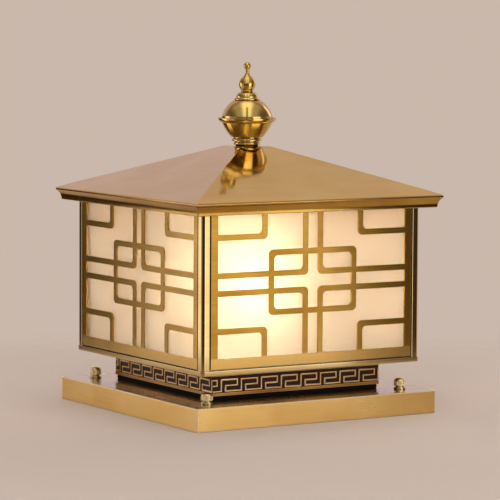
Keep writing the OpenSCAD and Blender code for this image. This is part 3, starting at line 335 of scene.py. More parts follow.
# Outlines, in millimetres
def eased(points, r=0.25, steps=3, closed=True, least=18):
    """Rounds the sharp corners of an outline. A point may carry its own radius as a third number."""
    out, n = [], len(points)
    for i, point in enumerate(points):
        here = Vector(point[:2])
        before, after = Vector(points[i - 1][:2]), Vector(points[(i + 1) % n][:2])
        a, b = before - here, after - here
        own = point[2] if len(point) > 2 else r
        at_end = not closed and i in (0, n - 1)
        if at_end or own <= 0 or min(a.length, b.length) < 1e-6 or math.pi - a.angle(b) < math.radians(least):
            out.append(tuple(here))
            continue
        cut = min(own / math.tan(a.angle(b) / 2), 0.45 * a.length, 0.45 * b.length)
        p, q = here + a.normalized() * cut, here + b.normalized() * cut
        for k in range(steps + 1):
            t = k / steps
            out.append(tuple((1 - t) ** 2 * p + 2 * t * (1 - t) * here + t * t * q))
    return out


def ellipse(cx, cy, rx, ry, start, end, steps):
    turns = [math.radians(start + (end - start) * i / steps) for i in range(steps + 1)]
    return [(cx + rx * math.cos(t), cy + ry * math.sin(t)) for t in turns]


def arc(cx, cy, r, start, end, steps=8):
    return ellipse(cx, cy, r, r, start, end, steps)


def oval(rx, rz, z, start, end, steps=14):
    return ellipse(0, z, rx, rz, start, end, steps)


def bulge(p, q, sag, steps=12):
    """A shallow bow between two points, to the right of the way from the first to the second."""
    p, q = Vector(p), Vector(q)
    d = q - p
    side = Vector((d.y, -d.x)).normalized()
    return [tuple(p + d * (i / steps) + side * (sag * 4 * (i / steps) * (1 - i / steps)))
            for i in range(steps + 1)]


def hollow_curve(start, pull, end, steps=10):
    """A curve from start to end that leans towards a third point."""
    return [tuple((1 - k) ** 2 * a + 2 * k * (1 - k) * b + k * k * c for a, b, c in zip(start, pull, end))
            for k in (i / steps for i in range(steps + 1))]


def rectangle(x0, z0, x1, z1):
    return [(x0, z0), (x1, z0), (x1, z1), (x0, z1)]


def round_rectangle(half_x, half_z, r, steps=8):
    line = []
    for k, (sx, sz) in enumerate(((1, 1), (-1, 1), (-1, -1), (1, -1))):
        line += arc(sx * (half_x - r), sz * (half_z - r), r, 90 * k, 90 * k + 90, steps)
    return line


def turned_about(points, quarters):
    c, s = round(math.cos(quarters * QUARTER)), round(math.sin(quarters * QUARTER))
    return [(x * c - y * s, x * s + y * c, z) for x, y, z in points]


# Meshes
def linked(name, mesh):
    piece = bpy.data.objects.new(name, mesh)
    scene.collection.objects.link(piece)
    return piece


def mesh_piece(name, points, edges=(), faces=(), material=None, unit=MM):
    """An object made of points, which are in millimetres unless another unit is given."""
    mesh = bpy.data.meshes.new(name)
    mesh.from_pydata([[c * unit for c in p] for p in points], edges, faces)
    if material:
        mesh.materials.append(material)
    return linked(name, mesh)


def plain_mesh(piece):
    """Turns what the modifiers make into the piece's own mesh and takes the modifiers off."""
    graph = bpy.context.evaluated_depsgraph_get()
    made = bpy.data.meshes.new_from_object(piece.evaluated_get(graph), preserve_all_data_layers=True,
                                           depsgraph=graph)
    piece.modifiers.clear()
    piece.data = made
    return piece


def tidy_mesh(mesh, merge=True):
    """Turns all faces outwards. Merges double points first and drops empty faces, unless told not to."""
    shape = bmesh.new()
    shape.from_mesh(mesh)
    if merge:
        bmesh.ops.remove_doubles(shape, verts=shape.verts, dist=1e-6)
        empty = [f for f in shape.faces if f.calc_area() < 1e-13]
        bmesh.ops.delete(shape, geom=empty, context="FACES_ONLY")
    bmesh.ops.recalc_face_normals(shape, faces=shape.faces)
    shape.to_mesh(mesh)
    shape.free()


def finish_piece(piece, slot, *nodes, body="lantern", edge_mm=0.0, smooth=33):
    """Merges doubles, turns faces outwards, rounds edges, hides the piece's CAD nodes and fixes it to its body.
    """
    tidy_mesh(piece.data)
    piece.data.shade_smooth()
    piece.data.set_sharp_from_angle(angle=math.radians(smooth))
    if edge_mm:
        rounding = piece.modifiers.new("edges", "BEVEL")
        rounding.width, rounding.segments = edge_mm * MM, 2
        rounding.limit_method, rounding.angle_limit = "ANGLE", math.radians(40)
        rounding.harden_normals = True
    flats = piece.modifiers.new("flats", "WEIGHTED_NORMAL")
    flats.keep_sharp = True
    plain_mesh(piece)
    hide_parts(*nodes)
    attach(piece, body)
    return piece


class Shape:
    """Points in millimetres and faces of one piece while it is put together."""

    def __init__(self):
        self.points, self.faces = [], []

    def join(self, points, faces):
        start = len(self.points)
        self.points += points
        self.faces += [[start + i for i in f] for f in faces]

    def square_sweep(self, outline, r, steps):
        """Sweeps a closed outline of (half width, height) round a square whose corners have radius r."""
        rings = [[(x, y, z) for x, y in round_rectangle(half, half, min(r, half), steps)] for half,
                 z in outline]
        n, m = len(rings), len(rings[0])
        faces = [[i * m + j, i * m + (j + 1) % m, ((i + 1) % n) * m + (j + 1) % m, ((i + 1) % n) * m + j]
                 for i in range(n) for j in range(m)]
        self.join([p for ring in rings for p in ring], faces)
        return self

    def prism(self, first, last, quarters):
        """Two like outlines joined by walls and closed at both ends."""
        n = len(first)
        walls = [[i, (i + 1) % n, n + (i + 1) % n, n + i] for i in range(n)]
        self.join(turned_about(first + last, quarters), walls + [list(range(n))[::-1], list(range(n, 2 * n))])
        return self

    def flat_bar(self, outline, face, depth, quarters):
        """A closed outline of (across, height) stood up as sheet behind a wall's face."""
        return self.prism([(x, -face, z) for x, z in outline], [(x, -face + depth, z) for x, z in outline],
                          quarters)

    def flat_ring(self, outer, inner, face, depth, quarters):
        """The sheet between two outlines that have the same number of points."""
        n = len(outer)
        points = [(x, y, z) for y in (-face, -face + depth) for line in (outer, inner) for x, z in line]
        faces = []
        for i in range(n):
            j = (i + 1) % n
            faces += [[i, j, n + j, n + i], [2 * n + i, 3 * n + i, 3 * n + j, 2 * n + j],
                      [i, 2 * n + i, 2 * n + j, j], [n + i, n + j, 3 * n + j, 3 * n + i]]
        self.join(turned_about(points, quarters), faces)

    def piece(self, name, material):
        return mesh_piece(name, self.points, (), self.faces, material)


# Geometry Nodes
def new_tree(name, **labels):
    """A tree with its inputs' labels listed by kind, and what it is given as sockets."""
    tree = bpy.data.node_groups.new(name, "GeometryNodeTree")
    tree.interface.new_socket(name="Geometry", in_out="INPUT", socket_type="NodeSocketGeometry")
    for kind, own in labels.items():
        for label in own:
            tree.interface.new_socket(name=label, in_out="INPUT", socket_type="NodeSocket" + kind)
    tree.interface.new_socket(name="Geometry", in_out="OUTPUT", socket_type="NodeSocketGeometry")
    return tree, add(tree, "NodeGroupInput").outputs


def end_tree(tree, geometry, material, chosen=None, other=None):
    """Every tree ends by realizing its instances and setting its material, and that of chosen faces."""
    real = add(tree, "GeometryNodeRealizeInstances", {"Geometry": geometry})
    dressed = add(tree, "GeometryNodeSetMaterial", {"Geometry": real, "Material": material})
    if chosen:
        dressed = add(tree, "GeometryNodeSetMaterial", {
            "Geometry": dressed, "Selection": chosen, "Material": other})
    add(tree, "NodeGroupOutput", {"Geometry": dressed})
    return tree


def run_tree(piece, tree, **values):
    """Runs a tree on the piece and keeps the result as its plain mesh. Inputs are set by identifier."""
    modifier = piece.modifiers.new("shape", "NODES")
    modifier.node_group = tree
    for item in tree.interface.items_tree:
        if item.in_out == "INPUT" and item.name in values:
            modifier[item.identifier] = values[item.name]
    piece.update_tag()
    bpy.context.view_layer.update()
    return plain_mesh(piece)


def turning_tree():
    """Turns the piece's own line of points round the Z axis, with knurl grooves or a screw thread where
    asked."""
    tree, given = new_tree("turning", Int=("Segments", "Grooves"), Float=(
        "Groove depth", "Groove low", "Groove high", "Thread pitch", "Thread depth", "Thread low",
        "Thread high"),
        Material=("Material",))
    outline = given["Geometry"]
    count = add(tree, "GeometryNodeAttributeDomainSize", {0: outline}).outputs["Point Count"]
    across = add(tree, "ShaderNodeMath", {0: given["Segments"], 1: 1.0}, operation="ADD")
    sheet = add(tree, "GeometryNodeMeshGrid", {"Vertices X": across, "Vertices Y": count})
    index = add(tree, "GeometryNodeInputIndex")
    row = add(tree, "ShaderNodeMath", {0: index, 1: count}, operation="MODULO")
    passed = add(tree, "ShaderNodeMath", {0: index, 1: 0.5}, operation="ADD")
    columns = add(tree, "ShaderNodeMath", {0: passed, 1: count}, operation="DIVIDE")
    column = add(tree, "ShaderNodeMath", {0: columns}, operation="FLOOR")
    position = add(tree, "GeometryNodeInputPosition")
    point = add(tree, "GeometryNodeSampleIndex", {"Geometry": outline, "Value": position, "Index": row},
                data_type="FLOAT_VECTOR", domain="POINT")
    part = add(tree, "ShaderNodeSeparateXYZ", {0: point}).outputs
    share = add(tree, "ShaderNodeMath", {0: column, 1: given["Segments"]}, operation="DIVIDE")
    angle = add(tree, "ShaderNodeMath", {0: share, 1: math.tau}, operation="MULTIPLY")
    # Knurl: narrow grooves between flat lands
    round_angle = add(tree, "ShaderNodeMath", {0: angle, 1: given["Grooves"]}, operation="MULTIPLY")
    wave = add(tree, "ShaderNodeMath", {0: round_angle}, operation="COSINE")
    lowered = add(tree, "ShaderNodeMath", {0: wave, 1: -0.2}, operation="ADD")
    steep = add(tree, "ShaderNodeMath", {0: lowered, 1: 1.6}, operation="MULTIPLY")
    flat = add(tree, "ShaderNodeMath", {0: steep, 1: 1.0, 2: 0.3}, operation="SMOOTH_MIN")
    groove = add(tree, "ShaderNodeMath", {0: flat, 1: 0.0}, operation="MAXIMUM")
    # Thread: a wave along the height that moves up one pitch for each turn
    pitches = add(tree, "ShaderNodeMath", {0: part["Z"], 1: given["Thread pitch"]}, operation="DIVIDE")
    climb = add(tree, "ShaderNodeMath", {0: pitches, 1: share}, operation="SUBTRACT")
    climb_angle = add(tree, "ShaderNodeMath", {0: climb, 1: math.tau}, operation="MULTIPLY")
    climb_wave = add(tree, "ShaderNodeMath", {0: climb_angle}, operation="COSINE")
    ridge = add(tree, "ShaderNodeMath", {0: climb_wave, 1: 0.5, 2: 0.5}, operation="MULTIPLY_ADD")
    # Both are cut into the radius between their own low and high ends
    radius = part["X"]
    for kind, shape in (("Groove", groove), ("Thread", ridge)):
        above = add(tree, "ShaderNodeMath", {0: part["Z"], 1: given[kind + " low"]}, operation="GREATER_THAN")
        below = add(tree, "ShaderNodeMath", {0: part["Z"], 1: given[kind + " high"]}, operation="LESS_THAN")
        within = add(tree, "ShaderNodeMath", {0: above, 1: below}, operation="MULTIPLY")
        ended = add(tree, "ShaderNodeMath", {0: shape, 1: within}, operation="MULTIPLY")
        depth = add(tree, "ShaderNodeMath", {0: ended, 1: given[kind + " depth"]}, operation="MULTIPLY")
        radius = add(tree, "ShaderNodeMath", {0: radius, 1: depth}, operation="SUBTRACT")
    radius = add(tree, "ShaderNodeMath", {0: radius, 1: 0.0}, operation="MAXIMUM")
    place = {2: part["Z"]}
    for axis, operation in enumerate(("COSINE", "SINE")):
        turn = add(tree, "ShaderNodeMath", {0: angle}, operation=operation)
        place[axis] = add(tree, "ShaderNodeMath", {0: radius, 1: turn}, operation="MULTIPLY")
    place = add(tree, "ShaderNodeCombineXYZ", place)
    turned = add(tree, "GeometryNodeSetPosition", {"Geometry": sheet, "Position": place})
    merged = add(tree, "GeometryNodeMergeByDistance", {"Geometry": turned, "Distance": 1e-6})
    return end_tree(tree, merged, given["Material"])


def setting_out_tree():
    """Sets one small part out on the piece's own points. A point marked over turns its part upside down."""
    tree, given = new_tree("setting_out", Object=("Part",), Material=("Material",))
    part = add(tree, "GeometryNodeObjectInfo", {"Object": given["Part"]}).outputs["Geometry"]
    over = add(tree, "GeometryNodeInputNamedAttribute", {"Name": "over"}, data_type="FLOAT")
    tip = add(tree, "ShaderNodeMath", {0: over, 1: math.pi}, operation="MULTIPLY")
    turn = add(tree, "FunctionNodeEulerToRotation", {0: add(tree, "ShaderNodeCombineXYZ", {0: tip})})
    set_out = add(tree, "GeometryNodeInstanceOnPoints", {
        "Points": given["Geometry"], "Instance": part, "Rotation": turn})
    return end_tree(tree, set_out, given["Material"])


KEY_INPUTS = ("Step", "Start", "Height", "Line", "Hook", "Foot", "Relief", "Face", "Half", "Low", "Strip low",
              "Strip high", "Strip depth", "Turn")


def key_tree():
    """One side of the frieze: the ground strip, and the running key as six short bars for each key, cut off
    at the strip's ends. Its sums stand in rows of a name, an operation and what it works on."""
    tree, given = new_tree("greek_key", Int=("Keys",), Float=KEY_INPUTS, Material=("Ground", "Raised"))
    known = {label: given[label] for label in ("Keys",) + KEY_INPUTS}
    known["index"] = add(tree, "GeometryNodeInputIndex")
    for name, operation, *values in (
            ("bars", "MULTIPLY", "Keys", 6.0), ("kind", "MODULO", "index", 6.0),
            ("passed", "ADD", "index", 0.5), ("keys", "DIVIDE", "passed", 6.0), ("key", "FLOOR", "keys"),
            ("origin", "MULTIPLY_ADD", "key", "Step", "Start"),
            ("top", "SUBTRACT", "Height", "Line"), ("middle", "MULTIPLY", "top", 0.5),
            ("over middle", "ADD", "middle", "Line"), ("past hook", "ADD", "Hook", "Line"),
            ("past foot", "ADD", "Foot", "Line")):
        inputs = {i: known.get(value, value) for i, value in enumerate(values)}
        known[name] = add(tree, "ShaderNodeMath", inputs, operation=operation)
    # Where each of the six bars starts and ends, across and up
    for name, values in (("x0", (0.0, "Line", "Hook", "Foot", "Foot", "Foot")),
                         ("x1", ("Line", "past hook", "past hook", "Hook", "past foot", "Step")),
                         ("z0", (0.0, "top", "middle", "middle", "Line", 0.0)),
                         ("z1", ("Height", "Height", "top", "over middle", "middle", "Line"))):
        known[name] = pick = add(tree, "GeometryNodeIndexSwitch", {0: known["kind"]}, data_type="FLOAT")
        while len(pick.index_switch_items) < len(values):
            pick.index_switch_items.new()
        for value, socket in zip(values, list(pick.inputs)[1:]):
            if value == 0.0:
                socket.default_value = value
            else:
                end = known[value]
                tree.links.new(end.outputs[0] if isinstance(end, bpy.types.Node) else end, socket)
    for name, operation, *values in (
            ("from", "ADD", "x0", "origin"), ("left end", "MULTIPLY", "Half", -1.0),
            ("left", "MAXIMUM", "from", "left end"), ("to", "ADD", "x1", "origin"),
            ("right", "MINIMUM", "to", "Half"), ("width", "SUBTRACT", "right", "left"),
            ("across", "ADD", "left", "right"), ("bar x", "MULTIPLY", "across", 0.5),
            ("front", "MULTIPLY", "Face", -1.0), ("bar y", "MULTIPLY_ADD", "Relief", -0.5, "front"),
            ("tall", "SUBTRACT", "z1", "z0"), ("up", "ADD", "z0", "z1"), ("half up", "MULTIPLY", "up", 0.5),
            ("bar z", "ADD", "half up", "Low"),
            # The ground strip starts at the neck's corner and ends past the next strip's edge
            ("behind", "SUBTRACT", "Face", "Strip depth"), ("near", "MULTIPLY", "behind", -1.0),
            ("strip width", "SUBTRACT", "Half", "near"), ("strip across", "ADD", "Half", "near"),
            ("strip x", "MULTIPLY", "strip across", 0.5),
            ("strip y", "MULTIPLY_ADD", "Strip depth", 0.5, "front"),
            ("strip height", "SUBTRACT", "Strip high", "Strip low"),
            ("strip up", "ADD", "Strip low", "Strip high"), ("strip z", "MULTIPLY", "strip up", 0.5)):
        inputs = {i: known.get(value, value) for i, value in enumerate(values)}
        known[name] = add(tree, "ShaderNodeMath", inputs, operation=operation)
    for name, values in (("bar place", ("bar x", "bar y", "bar z")),
                         ("bar size", ("width", "Relief", "tall")),
                         ("strip place", ("strip x", "strip y", "strip z")),
                         ("strip size", ("strip width", "Strip depth", "strip height"))):
        known[name] = add(tree, "ShaderNodeCombineXYZ", {i: known[value] for i, value in enumerate(values)})
    bars = add(tree, "GeometryNodeMeshLine", {"Count": known["bars"]})
    placed = add(tree, "GeometryNodeSetPosition", {"Geometry": bars, "Position": known["bar place"]})
    block = add(tree, "GeometryNodeMeshCube", {"Size": (1.0, 1.0, 1.0)})
    there = add(tree, "FunctionNodeCompare", {0: known["width"], 1: 1e-5}, data_type="FLOAT",
                operation="GREATER_THAN")
    lines = add(tree, "GeometryNodeInstanceOnPoints", {
        "Points": placed, "Selection": there, "Instance": block, "Scale": known["bar size"]})
    lines = add(tree, "GeometryNodeRealizeInstances", {"Geometry": lines})
    fused = add(tree, "GeometryNodeMeshBoolean", {"Mesh 2": lines, "Self Intersection": True},
                operation="UNION",
                solver="EXACT")
    marked = add(tree, "GeometryNodeStoreNamedAttribute", {"Geometry": fused, "Name": "raised",
                                                           "Value": True},
                 data_type="BOOLEAN", domain="FACE")
    strip = add(tree, "GeometryNodeTransform", {
        "Geometry": block, "Translation": known["strip place"], "Scale": known["strip size"]})
    both = add(tree, "GeometryNodeJoinGeometry", {0: marked})
    tree.links.new(strip.outputs[0], both.inputs[0])
    turn = add(tree, "ShaderNodeCombineXYZ", {2: given["Turn"]})
    rotation = add(tree, "FunctionNodeEulerToRotation", {0: turn})
    turned = add(tree, "GeometryNodeTransform", {"Geometry": both, "Rotation": rotation})
    raised = add(tree, "GeometryNodeInputNamedAttribute", {"Name": "raised"}, data_type="BOOLEAN").outputs[0]
    return end_tree(tree, turned, given["Ground"], raised, given["Raised"])


def fusing_tree():
    """Fuses overlapping bars of sheet into one."""
    tree, given = new_tree("fusing", Material=("Material",))
    fused = add(tree, "GeometryNodeMeshBoolean", {"Mesh 2": given["Geometry"], "Self Intersection": True},
                operation="UNION", solver="EXACT")
    return end_tree(tree, fused, given["Material"])


turning, setting_out, greek_key, fusing = turning_tree(), setting_out_tree(), key_tree(), fusing_tree()


# Making pieces
def turned_piece(name, outline, material, segments, **values):
    """A turned piece from its outline of (radius, height) in millimetres. A closed outline repeats its first
    point."""
    piece = mesh_piece(name, [(r, 0, z) for r, z in outline], [(i, i + 1) for i in range(len(outline) - 1)])
    return run_tree(piece, turning, Material=material, Segments=segments, **values)


def thread(pitch, depth, low, high):
    """A screw thread's measures in millimetres, as a turned piece takes them."""
    return {"Thread pitch": pitch * MM, "Thread depth": depth * MM, "Thread low": low * MM,
            "Thread high": high * MM}


def swept_piece(name, outline, r, steps, material):
    """A piece of one outline of (half width, height) swept round a square."""
    return Shape().square_sweep(outline, r, steps).piece(name, material)


def set_out(name, part, spots, material, over=None):
    """Copies of a small part on points in millimetres, as one piece. The part itself is then removed."""
    tidy_mesh(part.data)
    piece = mesh_piece(name, spots)
    marks = piece.data.attributes.new("over", "FLOAT", "POINT")
    marks.data.foreach_set("value", over or [0.0] * len(spots))
    run_tree(piece, setting_out, Part=part, Material=material)
    bpy.data.objects.remove(part)
    return piece


def joined(first, second):
    """Adds the second piece's mesh to the first."""
    shape = bmesh.new()
    shape.from_mesh(first.data)
    shape.from_mesh(second.data)
    shape.to_mesh(first.data)
    shape.free()
    bpy.data.objects.remove(second)
    return first


def closed(outline):
    return outline + [outline[0]]


def paint(node, material):
    """A CAD node keeps its shape and gets its material."""
    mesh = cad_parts[node].data
    mesh.materials.clear()
    mesh.materials.append(material)


# Base cover, gasket and neck
SHEET = 1.5
CABLE_HOLE = 8.2
base_half, base_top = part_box("base_cover")[1].x / MM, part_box("base_cover")[1].z / MM
stud_off = (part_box("cap_nut_back_right")[0].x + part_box("cap_nut_back_right")[1].x) / 2 / MM
base_cover = swept_piece("base_cover_sheet", eased([
    (CABLE_HOLE, base_top, 0), (base_half, base_top, 1.5), (base_half, 0, 0.3), (base_half - SHEET, 0, 0.3),
    (base_half - SHEET, base_top - SHEET, 0.5), (CABLE_HOLE, base_top - SHEET, 0)], steps=6), 1.5, 6,
    base_brass)
base_cover.data.materials.append(top_brass)
base_cover.data.materials.append(edge_highlight_brass)
for face in base_cover.data.polygons:
    heights = [base_cover.data.vertices[i].co.z for i in face.vertices]
    # Rounded edges and corners take the pale edge brass, wear and a painted highlight
    if max(abs(c) for c in face.normal) < 0.985 and face.center.z > 1.0 * MM:
        face.material_index = 2  # rounded edges and corners
    elif face.normal.z > 0.9 or min(heights) > (base_top - 0.4) * MM:
        face.material_index = 1  # top
finish_piece(base_cover, "satin_brass", "base_cover")

gasket_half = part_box("neck_gasket")[1].x / MM
neck_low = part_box("neck_gasket")[1].z / MM
gasket_ring = swept_piece("gasket_ring", eased([
    (gasket_half - 0.4, base_top, 0.2), (gasket_half, (base_top + neck_low) / 2, 1.5),
    (gasket_half - 0.4, neck_low, 0.2), (gasket_half - 5, neck_low, 0.2), (gasket_half - 5, base_top, 0.2)],
    least=4), 1.2, 4, black_rubber)
finish_piece(gasket_ring, "black_rubber", "neck_gasket")

NECK, NECK_IN = 102.5, 85
STRIP_LOW, STRIP_HIGH = 31.8, 48.6
neck_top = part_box("neck_box")[1].z / MM
neck_mouldings = swept_piece("neck_mouldings", eased([
    (NECK_IN, neck_low, 0.2), (NECK, neck_low, 0.4), (NECK, STRIP_LOW, 0.4), (101, STRIP_LOW, 0.2),
    (101, STRIP_HIGH, 0.2), (NECK, STRIP_HIGH, 0.3), (NECK, 49.5, 0.2), (103, 49.5, 0.35), (103, 51, 0.35),
    (NECK, 51, 0.2), (NECK, neck_top, 0.3), (NECK_IN, neck_top, 0.2), (NECK_IN, neck_top - SHEET, 0.2),
    (99.5, neck_top - SHEET, 0.2), (99.5, neck_low + SHEET, 0.2), (NECK_IN, neck_low + SHEET, 0.2)]),
    1.0, 4, neck_shade_brass)
finish_piece(neck_mouldings, "lattice_brass", "neck_box")

# Eight and a half keys fill a side. The first is cut off at the corner, with 0.45 of it left
KEY_STEP = 2 * NECK / 8.5
KEY_SIZES = {
    "Step": KEY_STEP, "Start": -NECK + (0.45 - 1) * KEY_STEP - 0.95, "Height": 13.2, "Line": 1.6,
    "Hook": 0.8 * KEY_STEP, "Foot": 0.22 * KEY_STEP, "Relief": 0.7, "Face": 101.8, "Half": 101.8, "Low": 32.4,
    "Strip low": STRIP_LOW, "Strip high": STRIP_HIGH, "Strip depth": 0.8}
for quarters, side_name in enumerate(SIDES):
    piece = run_tree(mesh_piece("greek_key_" + side_name, []), greek_key, Keys=10, Turn=quarters * QUARTER,
                     Ground=etched_ground, Raised=key_brass,
                     **{k: size * MM for k, size in KEY_SIZES.items()})
    finish_piece(piece, "key_brass", "frieze_" + side_name, edge_mm=0.28)


# Cap nuts on their washers
NUT_LOW = 25.2


def cap_nut_outline():
    """Foot, waist, knurled head and dome over the blind bore, from its foot at height 0."""
    outside = eased([
        (3.1, 0, 0), (6.0, 0, 0.3), (6.0, 1.0, 0.3), (4.2, 1.0, 0.2), (4.2, 2.4, 0.2), (5.75, 2.4, 0.2),
        (6.2, 2.85, 0.15)], closed=False)
    band = [(6.2, 2.85 + 5.0 * i / 10) for i in range(1, 11)]
    crown = eased([(6.2, 7.85), (5.75, 8.3, 0.2), (5.55, 8.32, 0)], closed=False)[1:]
    dome = oval(5.55, 2.66, 8.32, 0, 90, 12)[1:]
    return outside + band + crown + dome + [(0, 8.6), (3.1, 8.4), (3.1, 0)]


for name, x, y in (("front_left", -1, -1), ("front_right", 1, -1), ("back_right", 1, 1),
                   ("back_left", -1, 1)):
    nut = turned_piece("knurled_cap_nut_" + name, cap_nut_outline(), nut_sheen_brass, 160, Grooves=20,
                       **{"Groove depth": 0.42 * MM, "Groove low": 2.9 * MM, "Groove high": 7.80 * MM})
    nut.data.transform(Matrix.Translation((x * stud_off * MM, y * stud_off * MM, NUT_LOW * MM)))
    finish_piece(nut, "polished_brass", "cap_nut_" + name, body="nut_" + name, smooth=50)

washer = turned_piece("washer", closed(eased([(3.4, 0), (6.5, 0), (6.5, 1.2), (3.4, 1.2)], 0.25)),
                      polished_brass, 64)
stud_spots = [(x * stud_off, y * stud_off, base_top) for x in (-1, 1) for y in (-1, 1)]
washers = set_out("turned_washers", washer, stud_spots, polished_brass)
finish_piece(washers, "polished_brass", "stud_washers")


# Walls: frames, corner posts and lattice
BODY, LIP = 132.0, 0.9
FRAME_SHEET = 1.2
SILL, HEAD = 55.2, 230.6  # inner faces of the two frames, between which the posts stand
low_z, high_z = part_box("bottom_frame")[0].z / MM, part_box("top_frame")[1].z / MM
low = Shape().square_sweep(eased([
    (85, low_z, 0.2), (BODY + LIP, low_z, 0.5), (BODY + LIP, 59, 0.35), (BODY, 59, 0.2), (BODY, SILL, 0.1),
    (85, SILL, 0.2)]), 4.9, 7)
high = Shape().square_sweep(eased([
    (114, high_z - FRAME_SHEET, 0.2), (BODY, high_z - FRAME_SHEET, 0.1), (BODY, 228, 0.2),
    (BODY + LIP, 228, 0.35),
    (BODY + LIP, high_z, 0.5), (114, high_z, 0.2)]), 4.9, 7)
for quarters in range(4):
    low.flat_bar(rectangle(-115, SILL, 115, 65.5), BODY - 1.9, FRAME_SHEET, quarters)
    high.flat_bar(rectangle(-115, 222.3, 115, HEAD), BODY - 1.9, FRAME_SHEET, quarters)
finish_piece(low.piece("bottom_frame_folded", post_brass), "satin_brass", "bottom_frame")
finish_piece(high.piece("top_frame_folded", post_brass), "satin_brass", "top_frame")

# Half of a post's section, from its rounded outer corner at (4, 0) along the rebate and back on the inside
half_post = [(4, 0), (9, 0, 0.7), (9, 1.9, 0.2), (17, 1.9, 0.2), (17, 3.1, 0.2), (7.8, 3.1, 0.2),
             (7.8, 1.2, 0.2),
             (4, 1.2)]
post_outline = eased(arc(4, 4, 4, 180, 270, 10)[:-1] + half_post + arc(4, 4, 2.8, 270, 180, 6)[1:-1]
                     + [(q, p, *r) for p, q, *r in half_post[::-1]], 0.0, 4)
for quarters, corner in enumerate(("front_left", "front_right", "back_right", "back_left")):
    foot, head = ([(p - BODY, q - BODY, z) for p, q in post_outline] for z in (SILL, HEAD))
    post = Shape().prism(foot, head, quarters)
    finish_piece(post.piece("corner_post_folded_" + corner, post_brass), "satin_brass",
                 "corner_post_" + corner)


def bent_bar(x, y, far_x, far_y):
    """A bar that comes in level from the side at height y and turns up at x: the top left one of four."""
    half, tight, wide = 3.0, 4.5, 5.0
    return ([(-far_x, y - half)] + arc(-x + half - wide, y - half + wide, wide, -90, 0,
                                       8) + [(-x + half, far_y)]
            + [(-x - half, far_y)] + arc(-x - half - tight, y + half + tight, tight, 0, -90, 8)
            + [(-far_x, y + half)])


def about_middle(outline):
    return [(x, z + MIDDLE) for x, z in outline]


MIDDLE = 145.5
LATTICE = (BODY - 0.4, SHEET)  # its face and its depth
for quarters, side_name in enumerate(SIDES):
    bars = Shape()
    bars.flat_ring(rectangle(-121.5, 60.5, 121.5, 226.5), rectangle(-113.5, 70.5, 113.5, 220.5), *LATTICE,
                   quarters)
    for corner in (bent_bar(9, 9, 114.5, 76), bent_bar(58, 47.5, 114.5, 76)):
        for sx in (1, -1):
            for sz in (1, -1):
                line = [(sx * px, MIDDLE + sz * pz) for px, pz in corner]
                bars.flat_bar(line if sx * sz > 0 else line[::-1], *LATTICE, quarters)
    bars.flat_ring(about_middle(round_rectangle(53, 33.5, 5)), about_middle(round_rectangle(47, 27.5, 4.5)),
                   *LATTICE, quarters)
    lattice = bars.piece("lattice_cut_" + side_name, toned_brass)
    tidy_mesh(lattice.data, merge=False)
    run_tree(lattice, fusing, Material=toned_brass)
    finish_piece(lattice, "lattice_brass", "lattice_" + side_name, edge_mm=0.3)


# Roof
# The slope sinks a little towards the nose, and the edge below it is hollow, which grades what they mirror
FLAT_HALF, ROD_HOLE, NOSE_R = 18, 4.5, 2
SINK_FROM, SINK_BY = 20.0, 0.5
roof_half, flat_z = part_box("roof_shell")[1].x / MM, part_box("roof_shell")[1].z / MM
hem_z, nose_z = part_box("roof_shell")[0].z / MM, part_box("roof_shell")[0].z / MM + 12
nose_x, hem_x, inner_side = roof_half - NOSE_R, roof_half - 5, roof_half - 1.4 - 1.57
down = math.atan2(flat_z - nose_z, nose_x - FLAT_HALF) - math.asin(
    NOSE_R / math.hypot(nose_x - FLAT_HALF, flat_z - nose_z))
under = SHEET / math.cos(down)
inner_top = FLAT_HALF - (under - SHEET) / math.tan(down)
lip_x, lip_z = nose_x + NOSE_R * math.sin(down), nose_z + NOSE_R * math.cos(down)
roof_line = [(ROD_HOLE, flat_z), (17.4, flat_z), (18.6, flat_z - 0.25)]
roof_line += [(lip_x - SINK_FROM * (1 - k), lip_z + SINK_FROM * (1 - k) * math.tan(down) - SINK_BY * k ** 2)
              for k in (i / 8 for i in range(8))]
roof_line += arc(nose_x, nose_z - SINK_BY, NOSE_R, 86 - math.degrees(down), -60, 16)
roof_line += hollow_curve(roof_line[-1], (hem_x + 0.9, nose_z - 5.2), (hem_x + 0.45, hem_z + 1.6))[1:]
roof_line += arc(hem_x - 0.45, hem_z + 0.9, 0.9, 0, -90, 6)
roof_line += [(hem_x - 1.57, hem_z), (inner_side, nose_z),
              (inner_side, flat_z - (inner_side - FLAT_HALF) * math.tan(down) - under),
              (inner_top, flat_z - SHEET),
              (ROD_HOLE, flat_z - SHEET)]
roof_sheet = swept_piece("roof_pyramid_sheet", roof_line, 1.1, 4, satin_brass)
roof_sheet.data.materials.append(fold_shade_brass)
# The fold below the nose takes the darker brass as painted shade
for face in roof_sheet.data.polygons:
    spots = [roof_sheet.data.vertices[i].co / MM for i in face.vertices]
    if max(v.z for v in spots) < nose_z + 0.3 and max(abs(c) for v in spots for c in v.xy) > hem_x - 1.0:
        face.material_index = 1
finish_piece(roof_sheet, "satin_brass", "roof_shell", body="roof", smooth=50)

soffit_low, soffit_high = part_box("soffit_frame")
soffit_sheet = swept_piece("soffit_sheet", eased(
    rectangle(134.5, soffit_low.z / MM, hem_x - 1.6, soffit_high.z / MM), 0.2), 1.0, 4, toned_brass)
finish_piece(soffit_sheet, "lattice_brass", "soffit_frame", body="roof")

